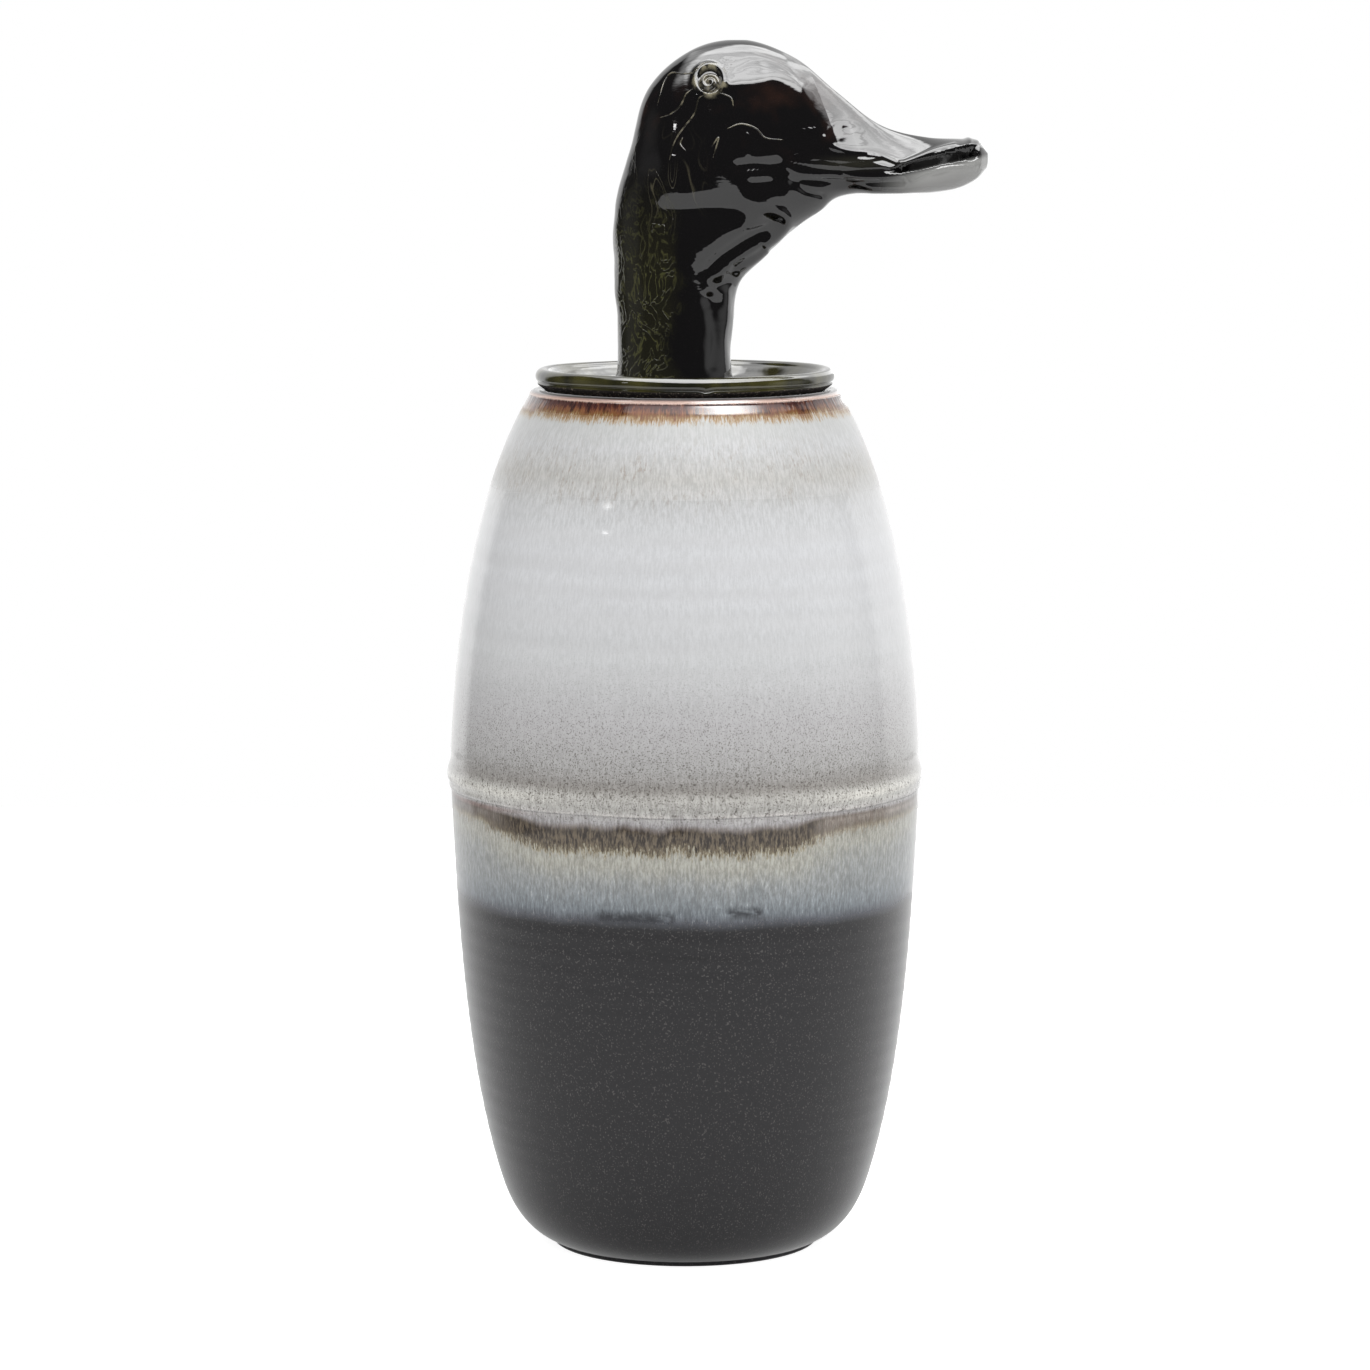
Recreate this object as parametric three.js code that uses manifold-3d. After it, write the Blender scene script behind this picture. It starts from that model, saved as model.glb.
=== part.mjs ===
// Lidded stoneware jar whose lid has a duck's head and neck for a handle.
// Millimetres, +Z up. The origin is the middle of the foot, and the bill points along +X.

import * as THREE from 'three';
import { mergeVertices } from 'three/addons/utils/BufferGeometryUtils.js';
import Module from 'manifold-3d';

const wasm = await Module();
wasm.setup();

// Clay and fit
const slipGap = 0.3;            // slip between two pieces that are stuck together wet
const lidClearance = 0.3;       // between the lid's seat and the mouth rim
const wall = 6.5;               // thrown wall of the jar
const floorThickness = 9;

// Jar, outside
const footRadius = 44.5;
const footEdge = 1.5;           // height of the upright edge of the foot
const bevelRadius = 60.9;       // where the trimmed bevel meets the belly
const bevelHeight = 20;
const bellyRadius = 78.2;       // at the joint of the two thrown sections
const jointHeight = 160;
const jarHeight = 287.3;        // top of the mouth rim

// Ridge of clay worked over the joint
const ridgeStand = 1.4;         // how far it stands out from the belly
const ridgeDrop = 5.5;          // how far the ridge reaches below the joint
const ridgeRise = 7.5;          // and above it
const ridgeDepth = 2.4;         // how deep it is let into the wall
const jointBevel = 3;           // slope of the two rims that meet

// Mouth rim, an oval bead in section
const mouthRadius = 45.6;
const rimThickness = 6.1;
const rimCrown = 2;             // height of the bead's round top
const throatDepth = 2;          // upright part of the mouth below the bead

// Lid, a saucer with a double beaded edge; its heights start at the top of the mouth rim
const lidRadius = 49.6;
const lidRimHeight = 7;         // top of the edge above the mouth
const edgeBead = 2.5;           // radius of the upper bead
const lowerBead = 1.1;
const seatAngle = 50 * Math.PI / 180;   // where the saucer touches the bead, from its top
const seatReach = 3;            // length of the conical seat to either side of that line
const saucerFloor = -1.8;       // top of the floor
const saucerThickness = 5.5;
const saucerFloorRadius = 34;
const ventRadius = 4;           // lets air out of the hollow bird

// Ring under the lid that keeps it in the mouth
const flangeRadius = 43.3;
const flangeThickness = 4.5;
const flangeDepth = 19;         // lower edge below the top of the mouth rim

// Duck
const birdReach = 100.2;        // tip of the bill from the jar's axis
const birdHeight = 116.6;       // crown above the saucer's floor
const birdBreadth = 43.8;       // across the cheeks
const birdWall = 6.5;
const eyeRadius = 3.3;
const eyeDome = 1.3;            // how far the pellet stands proud
const eyeSink = 1.6;            // depth of its socket
const nostrilRadius = 2.2;

// Places on the bird, counted in the slices below; a turn goes round the slice from the crown
const division = { neckEnd: 4.5, hollowEnd: 8, headEnd: 9 };
const eyePlace = { slice: 6.78, turn: 0.8 };
const nostrilPlace = { slice: 9.86, turn: 1.11 };

// The bird is lofted through these slices, from the foot of the neck to the tip of the bill.
// A slice runs from the nape, crown or top of the bill to the throat or underside. Its points
// are in hundredths of the reach from the axis and of the height above the saucer's floor, and
// its width in hundredths of the breadth. Sag moves its widest part down.
const slices = [
  { back: [-24.3, 0], front: [17.2, 0], width: 93.2, sag: 0 },
  { back: [-22.2, 6], front: [15.1, 6], width: 84.9, sag: 0 },
  { back: [-22.5, 21.4], front: [16.2, 20.6], width: 85.8, sag: 0 },
  { back: [-23.6, 36.9], front: [18.6, 31.7], width: 91.3, sag: 0 },
  { back: [-23.3, 53.2], front: [25.3, 37.7], width: 96.3, sag: 0.02 },
  { back: [-18.2, 69.3], front: [32.9, 44], width: 100, sag: 0.06 },
  { back: [-11.6, 87], front: [39.7, 48.7], width: 98.6, sag: 0.1 },
  { back: [3.6, 97.8], front: [45.1, 52.1], width: 90.4, sag: 0.14 },
  { back: [20.3, 100], front: [49.1, 55.1], width: 77.6, sag: 0.18 },
  { back: [36.7, 94.7], front: [54.4, 56.4], width: 64.8, sag: 0.24 },
  { back: [49.9, 85.4], front: [61.9, 56.6], width: 56.2, sag: 0.3 },
  { back: [64.9, 75.8], front: [71.4, 56.7], width: 53.9, sag: 0.25 },
  { back: [79.8, 72.6], front: [81.3, 56.9], width: 58.4, sag: 0.1 },
  { back: [90.8, 72.2], front: [90.3, 58.3], width: 60.3, sag: 0 },
  { back: [96.6, 71.7], front: [96.2, 60.9], width: 48.4, sag: 0 },
  { back: [99.4, 68.8], front: [99.2, 63.8], width: 25.1, sag: 0 },
];
const billTip = [100, 66.2];

// Mouth of the bill in the same hundredths: the edge of the upper half, then of the lower half
const upperLip = [[30, 66.4], [56, 65.4], [72, 65], [79, 66.2], [87, 68.6], [95, 69.8], [104, 70.3]];
const lowerLip = [[30, 66], [56, 64.8], [72, 62.8], [79, 64], [87, 65.9], [95, 66.3], [104, 66.3]];

// Fineness
const ringSides = 48;
const sliceSides = 24;
const curveSteps = 8;
const ringsPerSlice = 2;

// Colours of the glazes and the bare clay
const bareClay = new THREE.MeshStandardMaterial({ color: '#3f3e40', roughness: 0.85 });
const whiteGlaze = new THREE.MeshStandardMaterial({ color: '#d3d3d1', roughness: 0.3 });
const ridgeGlaze = new THREE.MeshStandardMaterial({ color: '#cfc8c0', roughness: 0.35 });
const lidGlaze = new THREE.MeshStandardMaterial({ color: '#3b3a26', roughness: 0.15 });
const birdGlaze = new THREE.MeshStandardMaterial({ color: '#121212', roughness: 0.12 });

// Shared geometry helpers

const at = (radius, height) => new THREE.Vector2(radius, height);

function curvePoints(from, pullFrom, pullTo, to, steps = curveSteps) {
  return new THREE.CubicBezierCurve(from, pullFrom, pullTo, to).getPoints(steps);
}

function arcPoints(centre, radiusX, radiusY, start, end, steps) {
  return new THREE.EllipseCurve(centre.x, centre.y, radiusX, radiusY, start, end, end < start)
    .getPoints(steps);
}

// A copy of a curve moved to its left: for an outside drawn upwards, that is towards the axis
function movedLeft(points, distance) {
  return points.map((point, i) => {
    const before = points[Math.max(i - 1, 0)];
    const after = points[Math.min(i + 1, points.length - 1)];
    const along = after.clone().sub(before).normalize();
    return at(point.x - along.y * distance, point.y + along.x * distance);
  });
}

// Inside walls are out of sight, so they have half the points of the outside
const everySecond = (points) => points.filter((point, i) => i % 2 === 0);

// Turns a profile about the jar's axis. It closes on itself unless it ends on the axis.
function revolve(profile) {
  const onAxis = profile[0].x === 0 && profile[profile.length - 1].x === 0;
  const loop = onAxis ? profile : [...profile, profile[0].clone()];
  return new THREE.LatheGeometry(loop, ringSides).rotateX(Math.PI / 2);
}

function toSolid(geometry) {
  const bare = geometry.clone();
  bare.deleteAttribute('normal');
  bare.deleteAttribute('uv');
  const merged = mergeVertices(bare, 1e-4);
  return new wasm.Manifold(new wasm.Mesh({
    numProp: 3,
    vertProperties: new Float32Array(merged.attributes.position.array),
    triVerts: new Uint32Array(merged.index.array),
  }));
}

function toGeometry(solid) {
  const mesh = solid.getMesh();
  const geometry = new THREE.BufferGeometry();
  geometry.setAttribute('position', new THREE.BufferAttribute(new Float32Array(mesh.vertProperties), 3));
  geometry.setIndex(new THREE.BufferAttribute(new Uint32Array(mesh.triVerts), 1));
  geometry.computeVertexNormals();
  return geometry;
}

// Skins a row of rings that have the same number of points. Each end closes on a point where
// one is given, and without them the last ring joins the first, as in a tube with a wall.
function skin(rings, startPoint, endPoint) {
  const sides = rings[0].length;
  const positions = rings.flat();
  const triangles = [];
  const corner = (ring, side) => (ring % rings.length) * sides + side % sides;
  const bands = startPoint ? rings.length - 1 : rings.length;
  for (let ring = 0; ring < bands; ring += 1) {
    for (let side = 0; side < sides; side += 1) {
      const a = corner(ring, side);
      const b = corner(ring, side + 1);
      const c = corner(ring + 1, side + 1);
      const d = corner(ring + 1, side);
      triangles.push(a, c, b, a, d, c);
    }
  }
  if (startPoint) {
    const start = positions.push(startPoint) - 1;
    const end = positions.push(endPoint) - 1;
    for (let side = 0; side < sides; side += 1) {
      triangles.push(start, corner(0, side), corner(0, side + 1));
      triangles.push(end, corner(rings.length - 1, side + 1), corner(rings.length - 1, side));
    }
  }
  const geometry = new THREE.BufferGeometry().setFromPoints(positions);
  geometry.setIndex(triangles);
  return geometry;
}

// Jar: the heights and radii where its two sections and the ridge meet

const innerJointRadius = bellyRadius - wall;
const ridgeBottom = jointHeight - ridgeDrop;
const ridgeTop = jointHeight + ridgeRise;
const ridgeSeat = bellyRadius - ridgeDepth;
const rimMiddle = mouthRadius + rimThickness / 2;
const mouthEnd = jarHeight - rimCrown;

// Thrown and trimmed lower half, with the floor and the foot
function makeLowerSection() {
  const top = ridgeBottom - slipGap;
  const bevel = curvePoints(
    at(footRadius, footEdge),
    at(footRadius + 5.5, footEdge + 2),
    at(bevelRadius - 4.3, bevelHeight - 12),
    at(bevelRadius, bevelHeight),
    5,
  );
  const belly = curvePoints(
    at(bevelRadius, bevelHeight),
    at(bevelRadius + 13, bevelHeight + 38),
    at(bellyRadius - 1.7, top - 38),
    at(bellyRadius, top),
  );
  const inside = everySecond(movedLeft(belly, wall));
  const floorCurve = curvePoints(
    inside[0],
    at(inside[0].x - 2, floorThickness + 4),
    at(inside[0].x - 6, floorThickness),
    at(inside[0].x - 16, floorThickness),
    4,
  );
  const rim = jointHeight - slipGap / 2;
  return revolve([
    at(0, 0),
    at(footRadius, 0),
    ...bevel,
    ...belly.slice(1),
    at(ridgeSeat, top),
    at(ridgeSeat, rim - jointBevel / 2),
    at(innerJointRadius, rim + jointBevel / 2),
    ...inside.reverse(),
    ...floorCurve.slice(1),
    at(0, floorThickness),
  ]);
}

// Thrown upper half, from the joint over the shoulder to the mouth rim
function makeUpperSection() {
  const bottom = ridgeTop + slipGap;
  const rimOutside = at(mouthRadius + rimThickness, mouthEnd);
  const shoulder = curvePoints(
    at(bellyRadius + 0.1, bottom),
    at(bellyRadius - 3.7, bottom + 87),
    at(rimOutside.x + 0.4, mouthEnd - 2),
    rimOutside,
    10,
  );
  const bead = arcPoints(at(rimMiddle, mouthEnd), rimThickness / 2, rimCrown, 0, Math.PI, 6);
  const inside = everySecond(movedLeft(shoulder, wall)).filter((point) => point.x > mouthRadius + 2);
  const rim = jointHeight + slipGap / 2;
  return revolve([
    at(ridgeSeat, rim - jointBevel / 2),
    at(ridgeSeat, bottom),
    ...shoulder,
    ...bead.slice(1),
    at(mouthRadius, mouthEnd - throatDepth),
    ...inside.reverse(),
    at(innerJointRadius, rim + jointBevel / 2),
  ]);
}

// Ridge over the joint: a sharp step below, a long soft slope above
function makeRidge() {
  const inner = ridgeSeat + slipGap;
  const crest = jointHeight - 0.8;
  return revolve([
    at(inner, ridgeBottom),
    at(bellyRadius + 0.1, ridgeBottom),
    at(bellyRadius + ridgeStand * 0.7, ridgeBottom + 2.2),
    at(bellyRadius + ridgeStand, crest),
    at(bellyRadius + ridgeStand * 0.8, crest + 2.3),
    at(bellyRadius + ridgeStand * 0.35, ridgeTop - 2.5),
    at(bellyRadius + 0.1, ridgeTop),
    at(inner, ridgeTop),
  ]);
}

// Lid: the conical seat runs along the tangent to the mouth bead at the seat angle

const beadHalf = rimThickness / 2;
const seatNormal = at(-Math.sin(seatAngle) / beadHalf, Math.cos(seatAngle) / rimCrown).normalize();
const seatOutward = at(seatNormal.y, -seatNormal.x);
const seatMiddle = at(rimMiddle - beadHalf * Math.sin(seatAngle), rimCrown * (Math.cos(seatAngle) - 1))
  .addScaledVector(seatNormal, lidClearance);
const seatOuter = seatMiddle.clone().addScaledVector(seatOutward, seatReach);
const seatInner = seatMiddle.clone().addScaledVector(seatOutward, -seatReach);
const saucerUnder = saucerFloor - saucerThickness;
const underCurve = curvePoints(
  seatInner,
  seatInner.clone().addScaledVector(seatOutward, -3),
  at(seatInner.x - 5, saucerUnder),
  at(saucerFloorRadius, saucerUnder),
  5,
);

function makeLidSaucer() {
  const lowerCentre = seatOuter.clone().addScaledVector(seatNormal, lowerBead);
  const upperCentre = at(lidRadius - edgeBead, lidRimHeight - edgeBead);
  const startAngle = Math.atan2(-seatNormal.y, -seatNormal.x);
  const lowerArc = arcPoints(lowerCentre, lowerBead, lowerBead, startAngle, Math.PI / 4, 3);
  const upperArc = arcPoints(upperCentre, edgeBead, edgeBead, -Math.PI / 6, Math.PI * 0.85, 7);
  const lip = upperArc[upperArc.length - 1];
  const hollow = curvePoints(
    lip,
    at(lip.x - 2.5, lip.y - 1.5),
    at(saucerFloorRadius + 6, saucerFloor + 0.4),
    at(saucerFloorRadius - 2, saucerFloor),
    6,
  );
  return revolve([
    ...lowerArc,
    ...upperArc,
    ...hollow.slice(1),
    at(ventRadius, saucerFloor),
    at(ventRadius, saucerUnder),
    ...[...underCurve].reverse(),
  ]);
}

// Height at a radius of a curve that is drawn towards the axis
function heightOn(curve, radius) {
  const i = Math.max(1, curve.findIndex((point) => point.x <= radius));
  const outer = curve[i - 1];
  const inner = curve[i];
  return inner.y + (outer.y - inner.y) * (radius - inner.x) / (outer.x - inner.x);
}

// The flange's top edge follows the saucer's underside at the distance of the slip
function makeFlange() {
  const innerRadius = flangeRadius - flangeThickness;
  const under = movedLeft([...underCurve, at(ventRadius, saucerUnder)], slipGap);
  return revolve([
    at(innerRadius, -flangeDepth),
    at(flangeRadius, -flangeDepth),
    at(flangeRadius, heightOn(under, flangeRadius)),
    ...under.filter((point) => point.x > innerRadius && point.x < flangeRadius),
    at(innerRadius, heightOn(under, innerRadius)),
  ]);
}

// Duck: guide curves through the slices

const inBird = ([x, z]) => new THREE.Vector3(x * birdReach / 100, 0, z * birdHeight / 100);
const guide = (pick) => new THREE.CatmullRomCurve3(slices.map(pick), false, 'centripetal');
const backLine = guide(({ back }) => inBird(back));
const frontLine = guide(({ front }) => inBird(front));
const girth = guide(({ width, sag }) => new THREE.Vector3(width * birdBreadth / 200, sag, 0));
const across = new THREE.Vector3(0, 1, 0);

// The frame of a slice: its middle, the way to its back, the way along the bird, its half sizes
function sliceFrame(slice) {
  const t = slice / (slices.length - 1);
  const back = backLine.getPoint(t);
  const front = frontLine.getPoint(t);
  const up = back.clone().sub(front);
  const halfHeight = up.length() / 2;
  up.normalize();
  return {
    middle: back.add(front).multiplyScalar(0.5),
    up,
    ahead: new THREE.Vector3(up.z, 0, -up.x),
    halfHeight,
    halfWidth: girth.getPoint(t).x,
    sag: girth.getPoint(t).y,
  };
}

// A point of the skin: angle 0 is the back, and a quarter turn is the left side
function skinPoint(slice, angle, inset = 0, shift = 0) {
  const frame = sliceFrame(slice);
  const height = Math.cos(angle) - frame.sag * Math.sin(angle) ** 2;
  return frame.middle
    .addScaledVector(frame.up, height * (frame.halfHeight - inset))
    .addScaledVector(across, Math.sin(angle) * (frame.halfWidth - inset))
    .addScaledVector(frame.ahead, shift);
}

function skinNormal(slice, angle) {
  const step = 0.02;
  const along = skinPoint(slice + step, angle).sub(skinPoint(slice - step, angle));
  const around = skinPoint(slice, angle + step).sub(skinPoint(slice, angle - step));
  return along.cross(around).normalize();
}

function sliceRing(slice, inset = 0, shift = 0) {
  const ring = [];
  for (let side = 0; side < sliceSides; side += 1) {
    ring.push(skinPoint(slice, side / sliceSides * 2 * Math.PI, inset, shift));
  }
  return ring;
}

// Rings from one slice to another; the first and last are moved along the bird by the shifts
function ringsBetween(from, to, inset, startShift, endShift) {
  const count = Math.max(2, Math.round((to - from) * ringsPerSlice) + 1);
  const rings = [];
  for (let i = 0; i < count; i += 1) {
    const slice = from + (to - from) * i / (count - 1);
    const shift = i === 0 ? startShift : i === count - 1 ? endShift : 0;
    rings.push(sliceRing(slice, inset, shift));
  }
  return rings;
}

const middleOf = (slice, shift = 0) => {
  const frame = sliceFrame(slice);
  return frame.middle.addScaledVector(frame.ahead, shift);
};

// Hollow neck, open at both ends
function makeNeck() {
  const outside = ringsBetween(0, division.neckEnd, 0, slipGap, 0);
  const inside = ringsBetween(0, division.neckEnd, birdWall, slipGap, 0);
  return skin([...outside, ...inside.reverse()]);
}

// Hollow head, open to the neck, with a socket for each eye
function makeHead() {
  const { neckEnd, hollowEnd, headEnd } = division;
  const inside = ringsBetween(neckEnd, hollowEnd, birdWall, slipGap, 0);
  const outside = ringsBetween(neckEnd, headEnd, 0, slipGap, 0);
  const shell = skin([...inside.reverse(), ...outside], middleOf(hollowEnd), middleOf(headEnd));
  let head = toSolid(shell);
  for (const side of [1, -1]) {
    const socket = seatOnSkin(pelletShape(slipGap), eyePlace, side);
    head = head.subtract(toSolid(socket));
  }
  return toGeometry(head);
}

// Domed pellet about its own +Z axis, with its back at the bottom of the socket
function pelletShape(grow) {
  const radius = eyeRadius + grow;
  const dome = arcPoints(at(0, 0), radius, eyeDome + grow, 0, Math.PI / 2, 4);
  return new THREE.LatheGeometry(
    [at(0, -eyeSink - grow), at(radius, -eyeSink - grow), ...dome.slice(0, -1), at(0, eyeDome + grow)],
    16,
  ).rotateX(Math.PI / 2);
}

// Puts a shape that is made about +Z on one side of the bird's skin, facing out
function seatOnSkin(geometry, { slice, turn }, side) {
  const facing = new THREE.Quaternion().setFromUnitVectors(
    new THREE.Vector3(0, 0, 1),
    skinNormal(slice, side * turn),
  );
  const point = skinPoint(slice, side * turn);
  return geometry.applyQuaternion(facing).translate(point.x, point.y, point.z);
}

const makeEye = (side) => seatOnSkin(pelletShape(0), eyePlace, side);

// A block that covers all of the bill between a lip line and a height
function lipBlock(lip, height) {
  const corners = lip.map(inBird).map(({ x, z }) => at(x, z));
  const line = new THREE.SplineCurve(corners).getPoints(lip.length * 2);
  const outline = new THREE.Shape([
    ...line,
    at(line[line.length - 1].x, height),
    at(line[0].x, height),
  ]);
  const depth = birdBreadth * 2;
  return toSolid(new THREE.ExtrudeGeometry(outline, { depth, bevelEnabled: false })
    .translate(0, 0, -depth / 2)
    .rotateX(Math.PI / 2));
}

function makeWholeBill() {
  const rings = ringsBetween(division.headEnd, slices.length - 1, 0, slipGap, 0);
  return toSolid(skin(rings, middleOf(division.headEnd, slipGap), inBird(billTip)));
}

function makeUpperBill() {
  let bill = makeWholeBill().intersect(lipBlock(upperLip, birdHeight * 1.2));
  for (const side of [1, -1]) {
    const dimple = new THREE.SphereGeometry(nostrilRadius, 10, 8);
    bill = bill.subtract(toSolid(seatOnSkin(dimple, nostrilPlace, side)));
  }
  return toGeometry(bill);
}

const makeLowerBill = () => toGeometry(makeWholeBill().intersect(lipBlock(lowerLip, 0)));

// Assembly

function piece(name, geometry, material) {
  const mesh = new THREE.Mesh(geometry, material);
  mesh.name = name;
  return mesh;
}

const duck = new THREE.Group();
duck.position.z = saucerFloor;
duck.add(
  piece('duck_neck', makeNeck(), birdGlaze),
  piece('duck_head', makeHead(), birdGlaze),
  piece('upper_bill', makeUpperBill(), birdGlaze),
  piece('lower_bill', makeLowerBill(), birdGlaze),
  piece('left_eye', makeEye(1), birdGlaze),
  piece('right_eye', makeEye(-1), birdGlaze),
);

const lid = new THREE.Group();
lid.position.z = jarHeight;
lid.add(
  piece('lid_saucer', makeLidSaucer(), lidGlaze),
  piece('lid_flange', makeFlange(), bareClay),
  duck,
);

const jar = new THREE.Group();
jar.add(
  piece('jar_lower_section', makeLowerSection(), bareClay),
  piece('jar_upper_section', makeUpperSection(), whiteGlaze),
  piece('joint_ridge', makeRidge(), ridgeGlaze),
);

const liddedJar = new THREE.Group();
liddedJar.add(jar, lid);

export default liddedJar;
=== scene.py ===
import math

import bpy
import numpy as np
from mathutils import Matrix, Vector, noise
from mathutils.bvhtree import BVHTree


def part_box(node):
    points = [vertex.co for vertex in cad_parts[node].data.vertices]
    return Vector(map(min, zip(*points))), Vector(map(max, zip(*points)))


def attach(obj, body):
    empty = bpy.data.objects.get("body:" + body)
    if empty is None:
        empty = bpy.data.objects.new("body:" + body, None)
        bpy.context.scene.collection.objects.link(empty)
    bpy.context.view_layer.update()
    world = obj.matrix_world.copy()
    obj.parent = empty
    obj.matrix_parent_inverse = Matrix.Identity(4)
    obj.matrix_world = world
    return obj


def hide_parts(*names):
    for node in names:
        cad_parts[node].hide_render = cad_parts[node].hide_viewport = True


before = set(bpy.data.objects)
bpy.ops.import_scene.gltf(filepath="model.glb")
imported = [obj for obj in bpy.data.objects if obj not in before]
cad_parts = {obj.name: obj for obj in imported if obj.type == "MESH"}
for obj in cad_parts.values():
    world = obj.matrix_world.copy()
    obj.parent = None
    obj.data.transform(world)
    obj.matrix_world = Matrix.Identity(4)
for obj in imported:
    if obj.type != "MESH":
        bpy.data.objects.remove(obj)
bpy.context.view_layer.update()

# Lidded stoneware jar with a duck's head for a handle: its glazed skin, light and camera.
# Sizes are in millimetres until a mesh is made, in the frame's own axes.

MM = 0.001


def corners(node):
    """Lowest and highest corner of a CAD node, in millimetres."""
    low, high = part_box(node)
    return np.array(low) / MM, np.array(high) / MM


# Sizes that the frame gives

RIDGE_RADIUS = corners("joint_ridge")[1][0]
RIDGE_BOTTOM = corners("joint_ridge")[0][2]
RIDGE_TOP = corners("joint_ridge")[1][2]
JAR_TOP = corners("jar_upper_section")[1][2]
LID_RADIUS = corners("lid_saucer")[1][0]
LID_TOP = corners("lid_saucer")[1][2]
FLANGE_RADIUS = corners("lid_flange")[1][0]
FLANGE_BOTTOM = corners("lid_flange")[0][2]
BIRD_FOOT = corners("duck_neck")[0][2]
BIRD_REACH = corners("lower_bill")[1][0]
BIRD_TOP = corners("duck_head")[1][2]

# The jar's own sizes, as the frame has them

RIDGE_STAND = 1.4
BELLY_RADIUS = RIDGE_RADIUS - RIDGE_STAND
WALL = 6.5
FLOOR = 9
FOOT_RADIUS = 44.5
FOOT_EDGE = 1.5
BEVEL_RADIUS = 60.9
BEVEL_HEIGHT = 20
JOINT_HEIGHT = 160
RIM_THICKNESS = 6.1
MOUTH_RADIUS = 45.6
RIM_CROWN = 2

# The lid's

UPPER_BEAD = 2.5
LOWER_BEAD = 1.1
SAUCER_THICKNESS = 5.5
VENT_RADIUS = 4
FLANGE_THICKNESS = 4.5

# Fineness of the meshes

COLUMNS = 240
BIRD_SIDES = 216
NECK_RINGS = 28       # in each slice
BILL_RINGS = 44


# Shapes: profiles are arrays of (radius, height)

def bezier(start, pull_start, pull_end, end, steps):
    t = np.linspace(0, 1, steps + 1)[:, None]
    a, b, c, d = (np.array(point, float) for point in (start, pull_start, pull_end, end))
    return (1 - t) ** 3 * a + 3 * (1 - t) ** 2 * t * b + 3 * (1 - t) * t ** 2 * c + t ** 3 * d


def arc(centre, radius_x, radius_y, start, end, steps):
    angle = np.radians(np.linspace(start, end, steps + 1))
    return np.stack([centre[0] + radius_x * np.cos(angle), centre[1] + radius_y * np.sin(angle)], axis=1)


def line(start, end, steps):
    return np.linspace(start, end, steps + 1)


def moved_left(points, distance):
    """A copy of a curve moved to its left, which is inwards for an outside drawn upwards."""
    along = np.gradient(points, axis=0)
    along /= np.linalg.norm(along, axis=1)[:, None]
    return points + distance * np.stack([-along[:, 1], along[:, 0]], axis=1)


def joined(*runs):
    """Runs of points as one profile, without a point that repeats the one before it."""
    points = np.concatenate([np.atleast_2d(run) for run in runs])
    step = np.linalg.norm(np.diff(points, axis=0), axis=1)
    return points[np.concatenate([[True], step > 1e-4])]


def smooth_step(value, low, high):
    t = np.clip((value - low) / (high - low), 0, 1)
    return t * t * (3 - 2 * t)


def placed(name, data):
    """A new object in the scene."""
    thing = bpy.data.objects.new(name, data)
    bpy.context.scene.collection.objects.link(thing)
    return thing


def make_object(name, vertices, faces, materials, face_material=None):
    mesh = bpy.data.meshes.new(name)
    mesh.from_pydata((np.asarray(vertices) * MM).tolist(), [], faces)
    for material in materials:
        mesh.materials.append(material)
    if face_material is not None:
        mesh.polygons.foreach_set("material_index", np.asarray(face_material, np.int32))
    mesh.polygons.foreach_set("use_smooth", np.ones(len(mesh.polygons), bool))
    mesh.update()
    return placed(name, mesh)


def band(lower, upper, sides):
    """Faces between two rings of points, from the first point of each."""
    return [(lower + side, lower + (side + 1) % sides, upper + (side + 1) % sides, upper + side)
            for side in range(sides)]


def closed(grid, start, end):
    """Vertices and faces of rings of points, closed with a fan at each end."""
    rings, sides, _ = grid.shape
    vertices = grid.reshape(-1, 3).tolist() + [start.tolist(), end.tolist()]
    last_ring, first, last = (rings - 1) * sides, rings * sides, rings * sides + 1
    faces = []
    for ring in range(rings - 1):
        faces += band(ring * sides, (ring + 1) * sides, sides)
    for side in range(sides):
        following = (side + 1) % sides
        faces.append((first, following, side))
        faces.append((last, last_ring + side, last_ring + following))
    return vertices, faces


def lathe(name, profile, materials, move, runs):
    """Turns a profile about the jar's axis. Its ends lie on the axis, or else it closes on itself.

    move takes (radius, height, azimuth) grids and returns new radii and heights.
    runs gives the material of the faces that start at each row.
    """
    pole = profile[0][0] == 0
    rows = profile[1:-1] if pole else profile
    count = len(rows)
    turn = np.tile(np.arange(COLUMNS) / COLUMNS * 2 * math.pi, (count, 1))
    radius, height = (np.repeat(rows[:, k:k + 1], COLUMNS, axis=1) for k in (0, 1))
    radius, height = move(radius, height, turn)
    grid = np.stack([radius * np.cos(turn), radius * np.sin(turn), height], axis=2)
    vertices = grid.reshape(-1, 3).tolist()
    faces = []
    for row in range(count - 1 if pole else count):
        faces += band(row * COLUMNS, (row + 1) % count * COLUMNS, COLUMNS)
    if pole:
        last_ring, centre = (count - 1) * COLUMNS, len(vertices)
        vertices += [[0, 0, float(profile[0][1])], [0, 0, float(profile[-1][1])]]
        around = [(column, (column + 1) % COLUMNS) for column in range(COLUMNS)]
        faces += [(centre, b, a) for a, b in around]
        faces += [(centre + 1, last_ring + a, last_ring + b) for a, b in around]
        runs = runs[:count - 1] + [runs[0], runs[count - 2]]
    return make_object(name, vertices, faces, materials, np.repeat(runs, COLUMNS))


# Node materials

def srgb(red, green, blue):
    """A colour given as 0 to 255 on a screen."""
    def linear(value):
        value /= 255
        return value / 12.92 if value <= 0.04045 else ((value + 0.055) / 1.055) ** 2.4
    return (linear(red), linear(green), linear(blue), 1)


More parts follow.
